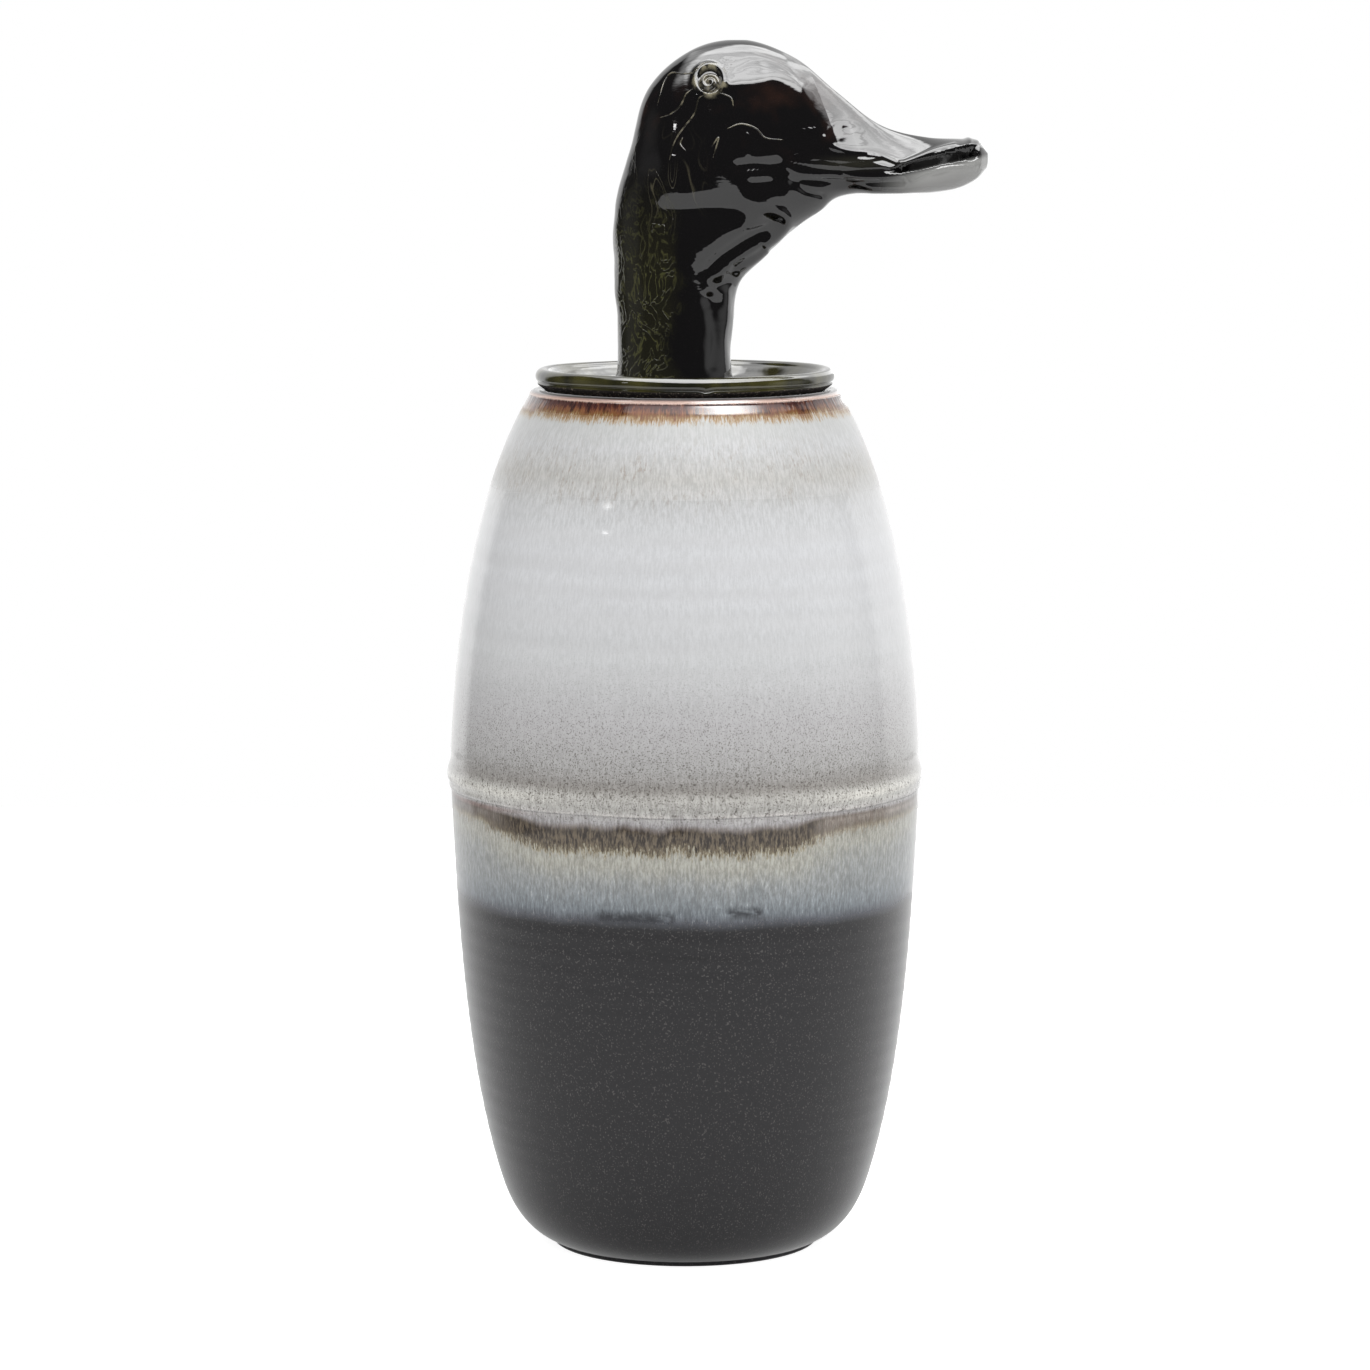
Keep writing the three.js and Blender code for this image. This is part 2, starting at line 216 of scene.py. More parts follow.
class Nodes:
    """Short names for shader nodes. Calls for a value return an output socket."""

    def __init__(self, tree):
        self.tree = tree

    def new(self, kind):
        return self.tree.nodes.new("ShaderNode" + kind)

    def link(self, value, socket):
        if isinstance(value, bpy.types.NodeSocket):
            self.tree.links.new(value, socket)
        else:
            socket.default_value = value

    def fill(self, kind, inputs, output=0, **settings):
        """A new node with settings, and with inputs by name or number."""
        node = self.new(kind)
        for name, value in settings.items():
            setattr(node, name, value)
        for name, value in inputs.items():
            self.link(value, node.inputs[name])
        return node.outputs[output]

    def math(self, operation, a, b=0, c=0):
        return self.fill("Math", {0: a, 1: b, 2: c}, operation=operation)

    def fold(self, operation, values):
        total, *others = values
        for value in others:
            total = self.math(operation, total, value)
        return total

    def add(self, *values):
        return self.fold("ADD", values)

    def times(self, *values):
        return self.fold("MULTIPLY", values)

    def highest(self, *values):
        return self.fold("MAXIMUM", values)

    def vector(self, operation, a, b=(0, 0, 0)):
        return self.fill("VectorMath", {0: a, "Scale" if operation == "SCALE" else 1: b},
                         "Value" if operation == "LENGTH" else "Vector", operation=operation)

    def parts(self, vector):
        node = self.new("SeparateXYZ")
        self.link(vector, node.inputs[0])
        return node.outputs[0], node.outputs[1], node.outputs[2]

    def whole(self, x, y, z):
        return self.fill("CombineXYZ", {0: x, 1: y, 2: z})

    def noise(self, vector, scale, detail=2, roughness=0.5, distortion=0):
        return self.fill("TexNoise", {"Vector": vector, "Scale": scale, "Detail": detail,
                                      "Roughness": roughness, "Distortion": distortion})

    def between(self, value, low, high, to_low=0, to_high=1):
        """Rises smoothly from to_low to to_high while value goes from low to high."""
        return self.fill("MapRange", {"Value": value, "From Min": low, "From Max": high, "To Min": to_low,
                                      "To Max": to_high}, interpolation_type="SMOOTHSTEP")

    def away(self, value, middle):
        return self.math("ABSOLUTE", self.add(value, -middle))

    def near(self, value, middle, reach):
        """1 at the middle, 0 from the reach outwards."""
        return self.between(self.away(value, middle), 0, reach, 1, 0)

    def ramp(self, value, stops):
        """Colours between heights: stops is a list of (value, colour)."""
        low, high = stops[0][0], stops[-1][0]
        node = self.new("ValToRGB")
        elements = node.color_ramp.elements
        while len(elements) < len(stops):
            elements.new(1)
        for element, (place, colour) in zip(elements, stops):
            element.position = (place - low) / (high - low)
            element.color = colour
        self.link(self.math("MULTIPLY_ADD", value, 1 / (high - low), -low / (high - low)), node.inputs[0])
        return node.outputs[0]

    def mix(self, factor, a, b, blend="MIX"):
        return self.fill("Mix", {0: factor, 6: a, 7: b}, 2, data_type="RGBA", blend_type=blend)

    def bump(self, height, depth):
        """Bump of a height between 0 and 1; depth is in millimetres."""
        return self.fill("Bump", {"Distance": depth * MM, "Height": height})


class Glaze(Nodes):
    """A material that is painted in layers, each over the colour so far."""

    def __init__(self, name):
        self.material = bpy.data.materials.new(name)
        self.material.use_nodes = True
        super().__init__(self.material.node_tree)
        self.shader = self.tree.nodes["Principled BSDF"]
        self.place = self.new("TexCoord").outputs["Object"]
        self.x, self.y, self.z = self.parts(self.place)
        self.height = self.times(self.z, 1 / MM)

    def up(self, low, high, to_low=0, to_high=1):
        """As between, for the height."""
        return self.between(self.height, low, high, to_low, to_high)

    def level(self, middle, reach):
        """As near, for the height."""
        return self.near(self.height, middle, reach)

    def set(self, **values):
        for name, value in values.items():
            self.link(value, self.shader.inputs[name.replace("_", " ")])

    def start(self, colour):
        self.colour = colour

    def paint(self, colour, *amounts):
        """Lays a colour over what is there, by the product of amounts."""
        self.colour = self.mix(self.times(*amounts), self.colour, colour)

    def finish(self, **values):
        self.set(Base_Color=self.colour, **values)
        return self.material


# Glaze colours

CHARCOAL = srgb(22, 21, 24)
SOOT = srgb(62, 64, 70)
SLATE = srgb(86, 89, 96)
BLUE_ASH = srgb(118, 125, 131)
ASH = srgb(136, 142, 146)
PALE_ASH = srgb(152, 155, 155)
CREAM = srgb(172, 171, 162)
STRAW = srgb(158, 149, 126)
OLIVE = srgb(102, 91, 73)
UMBER = srgb(74, 66, 60)
MAUVE = srgb(138, 131, 129)
LILAC = srgb(174, 172, 173)
SHELL = srgb(190, 188, 187)
RIDGE_CREAM = srgb(196, 195, 190)
TAUPE = srgb(150, 147, 143)
STONE = srgb(170, 169, 168)
PEWTER = srgb(180, 179, 180)
MIST = srgb(194, 195, 196)
MILK = srgb(198, 199, 201)
HAZE = srgb(186, 187, 188)
CHALK = srgb(176, 177, 176)
OAT = srgb(180, 179, 176)
SAND = srgb(152, 128, 92)
AMBER = srgb(112, 80, 44)
RUST = srgb(112, 70, 46)
MAROON = srgb(66, 34, 30)
ROSE_CREAM = srgb(196, 168, 154)
ROSE_BROWN = srgb(96, 60, 52)
# Painted shadow: near-black where the lid's edge shades the top of the rim
LID_SHADOW_BROWN = srgb(24, 12, 10)

# Colours of the jar's front, at the height where each is purest: first up to the ridge
LOWER_BANDS = [
    (0, CHARCOAL),
    (117.6, CHARCOAL),
    (119.2, SOOT),
    (120.4, SLATE),
    (122.8, BLUE_ASH),
    (126.6, ASH),
    (132, PALE_ASH),
    (138, CREAM),
    (141.2, CREAM),
    (142.4, STRAW),
    (143.8, OLIVE),
    (146, UMBER),
    (149.4, UMBER),
    (150.6, MAUVE),
    (152, LILAC),
    (154.4, SHELL),
    (157, RIDGE_CREAM),
    (160, RIDGE_CREAM),
]

# then from the ridge up to the rim
UPPER_BANDS = [
    (160, RIDGE_CREAM),
    (163.2, TAUPE),
    (170, STONE),
    (184, PEWTER),
    (204, MIST),
    (226, MILK),
    (240, MILK),
    (252, MIST),
    (262, OAT),
    (271, HAZE),
    (279, CHALK),
    (280.6, SAND),
    (281.8, AMBER),
    (283, RUST),
    (284.2, MAROON),
    (285.5, MAROON),
    (285.8, ROSE_CREAM),
    (286.2, ROSE_CREAM),
    (286.6, ROSE_BROWN),
    # painted shadow of the lid over the top of the rim
    (286.95, LID_SHADOW_BROWN),
]


def round_the_jar(nodes, stretch):
    """Coordinates that run round the jar at one radius, with heights shrunk by stretch."""
    around = nodes.vector("NORMALIZE", nodes.whole(nodes.x, nodes.y, 0))
    around = nodes.vector("SCALE", around, BELLY_RADIUS * MM)
    return nodes.vector("ADD", around, nodes.whole(0, 0, nodes.times(nodes.z, stretch)))


class JarGlaze(Glaze):
    """The jar's glaze with its places: how far to the right and front, and noise that runs downwards."""

    def __init__(self, name):
        super().__init__(name)
        around = self.vector("NORMALIZE", self.whole(self.x, self.y, 0))
        self.rightwards, backwards, _ = self.parts(around)
        self.front = self.times(backwards, -1)
        self.flat = round_the_jar(self, 1)
        self.streaks = round_the_jar(self, 0.42)
        self.hair = round_the_jar(self, 0.24)
        self.fine = self.add(self.noise(self.hair, 1400, 3, 0.75), -0.5)

        # The dark band hangs low across the front, and runs up to the ridge at the sides
        self.wander = self.add(self.noise(round_the_jar(self, 0.2), 22, 2, 0.6), -0.5)
        self.side_place = self.add(self.rightwards, self.times(self.wander, 0.16))
        low_part = self.math("MINIMUM", self.between(self.side_place, -0.9, -0.56),
                             self.between(self.side_place, 0.7, 0.4))
        self.low_part = self.times(low_part, self.between(self.front, 0.15, 0.4))
        self.warped = self.warp()
        self.charcoal = self.between(self.warped, 122.6, 119.6)
        self.on_rim = self.times(self.up(281.5, 283),
                                 self.up(285.8, 285.5))

    def warp(self):
        """Height as the bands have it: they hang, and run down in streaks, most where they are brown."""
        hang = self.times(self.math("MULTIPLY_ADD", self.low_part, 6.5, -6.5), self.up(128, 142))
        hang = self.add(hang, self.times(self.wander, 4))
        hung = self.add(self.height, self.times(hang, self.up(155, 150)))
        coarse = self.add(self.noise(round_the_jar(self, 0.14), 110, 2, 0.6), -0.5)
        in_brown = self.level(146, 14)
        in_rim = self.level(281, 6)
        in_ash = self.level(129, 14)
        reach = self.add(self.times(in_brown, 4), self.times(in_rim, 5), self.times(in_ash, 3))
        grain = self.add(self.times(in_brown, self.up(149.5, 145.5, 3, 16)),
                         self.times(in_rim, 11), self.times(in_ash, 9))
        return self.add(hung, self.times(coarse, reach), self.times(self.fine, grain))


def paint_bands(jar):
    above = jar.between(jar.warped, 159.9, 160.1)
    jar.start(jar.mix(above, jar.ramp(jar.warped, LOWER_BANDS), jar.ramp(jar.warped, UPPER_BANDS)))

    # The dark band is thinner and paler away from the front, where it has hairs of brown and straw
    pale = jar.mix(jar.noise(jar.streaks, 500), srgb(120, 106, 98), srgb(172, 166, 158))
    jar.paint(pale, jar.near(jar.warped, 147, 7.5), jar.between(jar.low_part, 0.7, 0.1),
              jar.between(jar.rightwards, -0.2, 0.4, 0.66, 1))
    hairs = jar.between(jar.noise(jar.hair, 1200, 2, 0.7), 0.4, 0.6)
    jar.paint(jar.mix(hairs, srgb(36, 29, 24), srgb(126, 113, 94)),
              jar.near(jar.warped, 147, 5.5), jar.between(jar.low_part, 0.2, 0.8), 0.75)


def paint_ridge(jar):
    """Cream with a painted highlight, lighter at the sides and greyer at the front, over a light line, with
    a rosy-brown line to the left that is also painted shade under the ridge.
    """
    # Painted highlight: the crest is greyer at the front and light cream at the sides
    jar.paint(srgb(158, 155, 152), jar.level(159, 5), jar.between(jar.front, 0.55, 0.95), 0.4)
    jar.paint(srgb(222, 220, 213), jar.level(158.8, 3.2), jar.between(jar.front, 0.95, 0.65), 0.85)
    jar.paint(srgb(206, 202, 198), jar.level(155, 0.7),
              jar.between(jar.noise(jar.flat, 60, 1), 0.36, 0.5), 0.6)
    # Rosy-brown glaze under the ridge on the left, darkened as painted shade of its undercut
    jar.paint(srgb(140, 112, 104), jar.level(153.4, 1.3),
              jar.between(jar.rightwards, -0.55, -0.9), 0.7)


def paint_mottle(jar):
    """Short upright streaks in every glaze, and light ones in the blue-grey."""
    mottle = jar.noise(jar.hair, 1300, 3, 0.75)
    strength = jar.add(jar.up(180, 150, 0.16, 0.55),
                       jar.times(jar.level(262, 24), 0.18))
    shade = jar.mix(jar.between(mottle, 0.34, 0.66), srgb(142, 138, 134), srgb(255, 255, 255))
    jar.paint(jar.mix(1, jar.colour, shade, "MULTIPLY"), strength, jar.up(117, 122))
    jar.paint(srgb(200, 203, 202), jar.between(mottle, 0.62, 0.74), jar.level(130, 24), 0.45)


def paint_rim(jar):
    """Grey-brown tufts below the rim, and darker and amber runs that blotch its maroon."""
    tufts = jar.between(jar.noise(jar.streaks, 760, 3, 0.75), 0.5, 0.66)
    patches = jar.between(jar.noise(jar.flat, 75, 2), 0.38, 0.6, 0.3, 1)
    jar.paint(srgb(138, 127, 116), tufts, patches, jar.level(263, 18), 0.62)
    blots = jar.noise(jar.streaks, 420, 3, 0.7)
    jar.paint(srgb(40, 18, 15), jar.between(blots, 0.5, 0.62), jar.on_rim, 0.85)
    jar.paint(srgb(132, 84, 56), jar.between(blots, 0.46, 0.36), jar.on_rim, 0.45)


def paint_wall(jar):
    """Rings where the wall was thrown, pepper on the ridge, and specks where the glaze thins above it."""
    rings = jar.math("SINE", jar.add(jar.times(jar.height, 0.72), jar.times(jar.noise(jar.flat, 12), 5)))
    jar.paint(srgb(190, 190, 191), jar.between(rings, -1, 1), jar.up(190, 202),
              jar.up(258, 246), 0.3)
    jar.paint(srgb(72, 66, 60), jar.between(jar.noise(jar.flat, 1000, 1, 0.6), 0.62, 0.7),
              jar.up(151.5, 153.5), jar.up(178, 164), 0.7)
    specks = jar.between(jar.noise(jar.flat, 2100, 1, 0.6), 0.56, 0.66)
    jar.paint(srgb(84, 78, 72), specks, jar.up(212, 166, 0.05, 0.75),
              jar.up(150, 164, 0.4, 1), jar.up(138, 150))


def paint_charcoal(jar):
    """Pale grit, and darker strokes where a wet brush went round at the front."""
    grit = jar.between(jar.noise(jar.flat, 1700, 0), 0.64, 0.76)
    jar.paint(srgb(112, 108, 106), grit, jar.charcoal, 0.35)
    strokes = jar.between(jar.noise(round_the_jar(jar, 11), 70, 3, 0.6), 0.5, 0.6)
    jar.paint(srgb(14, 14, 16), strokes, jar.level(109.5, 6),
              jar.between(jar.front, 0.93, 0.985), 0.85)


def paint_smudges(jar):
    """Two bare smudges at the front, just above the charcoal, and clouds in the blue-grey glaze."""
    for from_side, to_side, level in ((-0.42, -0.02, 121.6), (0.18, 0.34, 123.2)):
        middle, reach = (from_side + to_side) / 2, (to_side - from_side) / 2
        smudge = jar.between(jar.away(jar.side_place, middle), reach, 0.7 * reach)
        edge = jar.near(jar.add(jar.height, jar.times(jar.fine, 3)), level, 3.2)
        blots = jar.between(jar.noise(round_the_jar(jar, 2.5), 150, 3), 0.3, 0.52)
        jar.paint(srgb(36, 38, 43), smudge, edge, jar.between(jar.front, 0.5, 0.7), blots, 0.9)
    cloud = jar.between(jar.noise(jar.flat, 75, 3, 0.65), 0.54, 0.68)
    jar.paint(srgb(104, 109, 111), cloud, jar.level(131, 9),
              jar.between(jar.front, 0.6, 0.95, 0.25, 1), 0.45)


def jar_glaze():
    """Charcoal clay below, pale glaze above, with the streaked bands where they meet."""
    jar = JarGlaze("jar_glaze")
    for layer in (paint_bands, paint_ridge, paint_mottle, paint_rim, paint_wall, paint_charcoal,
                  paint_smudges):
        layer(jar)

    # Satin above the shoulder, glassy on the rim, which has a thick clear run at the front right
    thick = jar.times(jar.up(282, 283), jar.up(286.8, 286.4),
                      jar.near(jar.rightwards, 0.25, 0.28), jar.between(jar.front, 0, 0.2))
    glassy = jar.times(jar.up(280.5, 282.5),
                       jar.highest(jar.between(jar.away(jar.rightwards, 0.13), 0.42, 0.54),
                                   jar.between(thick, 0, 0.4)))
    satin = jar.times(jar.up(252.5, 259), jar.math("SUBTRACT", 1, glassy))
    roughness = jar.add(jar.times(jar.charcoal, 0.22), jar.times(satin, 0.42), 0.07)
    jar.set(Coat_Weight=thick, Coat_IOR=2.2, Coat_Roughness=0.05)
    jar.set(Sheen_Weight=0.62, Sheen_Roughness=0.35)
    grain = jar.times(jar.noise(jar.flat, 1500, 2), jar.math("MULTIPLY_ADD", jar.charcoal, 0.3, 0.03))
    bumps = jar.add(grain, jar.times(jar.noise(jar.flat, 120, 1), 0.25),
                    jar.times(jar.noise(jar.streaks, 420, 1), jar.on_rim, 1.4))
    return jar.finish(Roughness=roughness, IOR=1.6, Normal=jar.bump(bumps, 0.12))


def inside_glaze():
    nodes = Glaze("inside_glaze")
    nodes.start(nodes.mix(nodes.noise(nodes.place, 40, 3), srgb(186, 185, 180), srgb(206, 206, 204)))
    return nodes.finish(Roughness=0.22, Normal=nodes.bump(nodes.noise(nodes.place, 500), 0.1))


def bare_clay():
    """Unglazed dark stoneware, under the foot and the lid, with painted shade near its top, in the gap
    under the lid's edge.
    """
    nodes = Glaze("bare_clay")
    nodes.start(nodes.mix(nodes.noise(nodes.place, 60, 3), srgb(70, 62, 56), srgb(98, 87, 78)))
    # Painted shade: near-black in the gap between the lid and the rim
    nodes.paint(srgb(22, 17, 15), nodes.up(JAR_TOP - 3, JAR_TOP))
    nodes.paint(srgb(150, 138, 124), nodes.between(nodes.noise(nodes.place, 1700, 1), 0.6, 0.72), 0.5)
    return nodes.finish(Roughness=0.85, Normal=nodes.bump(nodes.noise(nodes.place, 1500, 2), 0.2))


def lid_glaze():
    """Glossy olive black that breaks to a lighter olive on the beads."""
    nodes = Glaze("lid_glaze")
    flow = nodes.noise(round_the_jar(nodes, 0.6), 55, 3)
    nodes.start(nodes.mix(nodes.between(flow, 0.35, 0.7), srgb(20, 20, 8), srgb(62, 59, 26)))
    # Painted shade: near-black at the bottom of the lower bead, in the gap over the rim
    nodes.paint(srgb(8, 8, 6), nodes.up(JAR_TOP + 1.8, JAR_TOP + 0.8))
    return nodes.finish(Roughness=0.06, IOR=1.95, Normal=nodes.bump(nodes.noise(nodes.place, 260, 1), 0.06))


def nape_threads(duck, forward):
    """Tangled olive threads low on the nape: returns how strongly they show."""
    edge = duck.add(forward, duck.times(duck.add(duck.noise(duck.place, 90, 2), -0.5), 16))
    nape = duck.times(duck.up(364, 322), duck.between(edge, -1, -8),
                      duck.between(forward, -29, -22))
    tangle = duck.noise(duck.vector("MULTIPLY", duck.place, (1, 1, 0.6)), 165, 2, 0.6, 1.6)
    threads = duck.times(duck.near(tangle, 0.5, 0.035), nape)
    duck.paint(srgb(26, 25, 13), nape, 0.85)
    duck.paint(srgb(68, 68, 40), threads, 0.75)
    return threads


def nape_lines(duck, forward):
    """Light lines behind the eye and down the nape, painted reflections along ripples that the bump also
    raises: returns how strongly they show.
    """
    swirl = duck.noise(duck.vector("MULTIPLY", duck.place, (1.5, 1, 0.5)), 75, 1, 0.5, 0.8)
    lines = duck.highest(duck.near(swirl, 0.5, 0.012), duck.near(swirl, 0.42, 0.01))
    patches = duck.between(duck.noise(duck.place, 40, 1), 0.4, 0.55)
    lines = duck.times(lines, duck.between(forward, 9, 0), patches, duck.level(355, 22))
    # Painted reflection: the lines are lighter than the black glaze round them
    duck.paint(srgb(92, 88, 70), lines, 0.4)
    return lines


def duck_glaze():
    """Thick black glaze that breaks to olive and brown, with fine lighter lines of painted reflection along
    its ripples.
    """
    duck = Glaze("duck_glaze")
    forward = duck.times(duck.x, 1 / MM)
    duck.start(srgb(8, 7, 8))
    duck.paint(srgb(34, 20, 15), duck.between(duck.noise(duck.place, 48, 3, 0.6), 0.52, 0.8),
               duck.up(355, 375))
    threads = nape_threads(duck, forward)
    lines = nape_lines(duck, forward)

    # It broke to a pale olive on the ring round the eye
    from_eye = duck.vector("LENGTH", duck.whole(duck.add(forward, -EYE_MIDDLE[0]), 0,
                                                duck.add(duck.height, -EYE_MIDDLE[1] - BIRD_FOOT)))
    duck.paint(srgb(140, 134, 112), duck.near(from_eye, EYE_RING, 1.8),
               duck.between(duck.noise(duck.place, 300, 2), 0.42, 0.6), 0.75)

    # Painted reflection of the pale floor, light grey under the tip of the bill, and olive on its side
    duck.paint(srgb(138, 138, 136), duck.between(forward, 60, 80),
               duck.between(duck.add(duck.height, duck.times(forward, -0.22)), 343.6, 341.4))
    duck.paint(srgb(36, 35, 28), duck.near(forward, 56, 18), duck.level(362, 3.4), 0.9)

    grain = duck.noise(duck.vector("MULTIPLY", duck.place, (0.3, 1, 1)), 420, 2)
    ripple = duck.add(duck.times(grain, 0.5), duck.times(lines, 0.4), duck.times(threads, 0.45))
    return duck.finish(Roughness=0.05, IOR=1.85, Normal=duck.bump(ripple, 0.1))


def eye_glaze():
    """The duck's glaze where it broke to a pale olive on the eyes."""
    nodes = Glaze("eye_glaze")
    broken = nodes.between(nodes.noise(nodes.place, 420, 2), 0.4, 0.62)
    nodes.start(nodes.mix(broken, srgb(30, 28, 22), srgb(104, 99, 84)))
    return nodes.finish(Roughness=0.08, IOR=1.85)


# Jar

THROWING_RINGS = [  # height, depth, half its width
    (247, 0.16, 2.6),
    (240.5, 0.12, 2),
    (232, 0.26, 2.2),
    (224.5, 0.22, 1.9),
    (218, 0.28, 1.9),
    (208.5, 0.3, 2.4),
    (198.5, 0.24, 2.2),
    (189, 0.12, 2.2),
    (180, 0.09, 2),
]


def thrown(radius, height, azimuth):
    """What the potter's hands leave on the outside: rings that tilt a little, and a ridge that wavers."""
    moved = radius.copy()
    for ring, depth, half_width in THROWING_RINGS:
        centre = ring + 0.9 * np.sin(azimuth + ring)
        strength = 0.7 + 0.3 * np.sin(2 * azimuth + 0.3 * ring)
        moved -= depth * strength * np.exp(-((height - centre) / half_width) ** 2)
    lower = smooth_step(height, 22, 40) * smooth_step(height, 150, 130)
    moved -= 0.05 * lower * (1 + np.sin(height / 6.3 * 2 * math.pi + azimuth))
    near_ridge = np.exp(-((height - JOINT_HEIGHT) / 9) ** 2)
    waver = 0.14 * (1 + np.sin(3 * azimuth + 0.8)) + 0.08 * (1 + np.sin(7 * azimuth + 2))
    moved -= near_ridge * waver
    lifted = height + near_ridge * (0.35 * np.sin(2 * azimuth + 1.2) + 0.15 * np.sin(9 * azimuth))
    return moved, lifted


def lower_outside():
    top = RIDGE_BOTTOM
    foot = [(0, 0), (FOOT_RADIUS - 2, 0)]
    edge = arc((FOOT_RADIUS - 1, 1), 1, 1, -90, 0, 4)
    bevel = bezier((FOOT_RADIUS, FOOT_EDGE), (FOOT_RADIUS + 5.5, FOOT_EDGE + 2),
                   (BEVEL_RADIUS - 4.3, BEVEL_HEIGHT - 12), (BEVEL_RADIUS, BEVEL_HEIGHT), 18)
    belly = bezier((BEVEL_RADIUS, BEVEL_HEIGHT), (BEVEL_RADIUS + 13, BEVEL_HEIGHT + 38),
                   (BELLY_RADIUS - 1.7, top - 38), (BELLY_RADIUS, top), 110)
    return foot, edge, bevel, belly


def make_lower_section(glaze, inside, clay):
    foot, edge, bevel, belly = lower_outside()
    wall_inside = moved_left(belly, WALL)[::-3]
    corner = bezier(wall_inside[-1], wall_inside[-1] + (-2, FLOOR + 4 - wall_inside[-1][1]),
                    (wall_inside[-1][0] - 6, FLOOR), (wall_inside[-1][0] - 16, FLOOR), 12)
    ledge = (BELLY_RADIUS - WALL / 2, RIDGE_BOTTOM)
    outside = joined(foot, edge, bevel, belly, ledge)
    hollow = joined((ledge[0], JOINT_HEIGHT - 1), (BELLY_RADIUS - WALL, JOINT_HEIGHT), wall_inside, corner,
                    (0, FLOOR))
    profile = joined(outside, hollow)
    runs = [1 if profile[row + 1][1] < 0.01 else 0 for row in range(len(outside))]
    runs += [2] * (len(profile) - len(runs))
    return lathe("jar_lower", profile, [glaze, clay, inside], thrown_outside_only(len(outside)), runs)


def thrown_outside_only(count):
    """Moves the first rows of a profile as thrown, and leaves the inside plain."""
    def move(radius, height, azimuth):
        moved, lifted = thrown(radius, height, azimuth)
        outside = (np.arange(len(radius)) < count - 2)[:, None]
        return np.where(outside, moved, radius), np.where(outside, lifted, height)
    return move


def make_upper_section(glaze, inside):
    """The upper half with the ridge worked over the joint, in one glazed skin."""
    crest = JOINT_HEIGHT - 0.8
    ridge = joined(
        bezier((BELLY_RADIUS - 0.05, RIDGE_BOTTOM), (BELLY_RADIUS + 0.75, RIDGE_BOTTOM + 0.1),
               (BELLY_RADIUS + 0.75, RIDGE_BOTTOM + 1), (BELLY_RADIUS + 0.55, RIDGE_BOTTOM + 1.8), 8),
        bezier((BELLY_RADIUS + 0.55, RIDGE_BOTTOM + 1.8), (BELLY_RADIUS + 0.7, RIDGE_BOTTOM + 2.8),
               (RIDGE_RADIUS, crest - 1.8), (RIDGE_RADIUS, crest), 10),
        bezier((RIDGE_RADIUS, crest), (RIDGE_RADIUS, crest + 2.2),
               (BELLY_RADIUS - 0.35, crest + 3.4), (BELLY_RADIUS + 0.1, RIDGE_TOP + 0.3), 20),
    )
    rim_base = JAR_TOP - RIM_CROWN
    rim_outside = (MOUTH_RADIUS + RIM_THICKNESS, rim_base)
    shoulder = bezier((BELLY_RADIUS + 0.1, RIDGE_TOP + 0.3), (BELLY_RADIUS - 3.7, RIDGE_TOP + 87.3),
                      (rim_outside[0] + 0.4, rim_base - 2), rim_outside, 120)
    bead = arc((MOUTH_RADIUS + RIM_THICKNESS / 2, rim_base), RIM_THICKNESS / 2, RIM_CROWN, 0, 180, 14)
    wall_inside = moved_left(shoulder, WALL)
    wall_inside = wall_inside[wall_inside[:, 0] > MOUTH_RADIUS + 1][::-3]
    ledge = BELLY_RADIUS - WALL / 2
    outside = joined((ledge, RIDGE_BOTTOM + 0.05), ridge, shoulder, bead)
    hollow = joined((MOUTH_RADIUS, rim_base - 2), wall_inside, (BELLY_RADIUS - WALL, JOINT_HEIGHT + 0.1),
                    (ledge - 0.1, JOINT_HEIGHT - 0.8))
    profile = joined(outside, hollow)
    runs = [0] * len(outside) + [1] * (len(profile) - len(outside))
    return lathe("jar_upper", profile, [glaze, inside], thrown_outside_only(len(outside) - 14), runs)


# Lid

def seat_line():
    """Middle of the conical seat on the mouth bead, its outward direction and its normal."""
    angle = math.radians(50)
    half = RIM_THICKNESS / 2
    normal = np.array([-math.sin(angle) / half, math.cos(angle) / RIM_CROWN])
    normal /= np.linalg.norm(normal)
    outward = np.array([normal[1], -normal[0]])
    middle = np.array([MOUTH_RADIUS + half - half * math.sin(angle),
                       JAR_TOP + RIM_CROWN * (math.cos(angle) - 1)]) + 0.3 * normal
    return middle, outward, normal


def saucer_under():
    """The saucer's underside, from the seat inwards."""
    middle, outward, _ = seat_line()
    seat_inner = middle - 3 * outward
    height = BIRD_FOOT - SAUCER_THICKNESS
    return bezier(seat_inner, seat_inner - 3 * outward, (seat_inner[0] - 5, height), (34, height), 14)


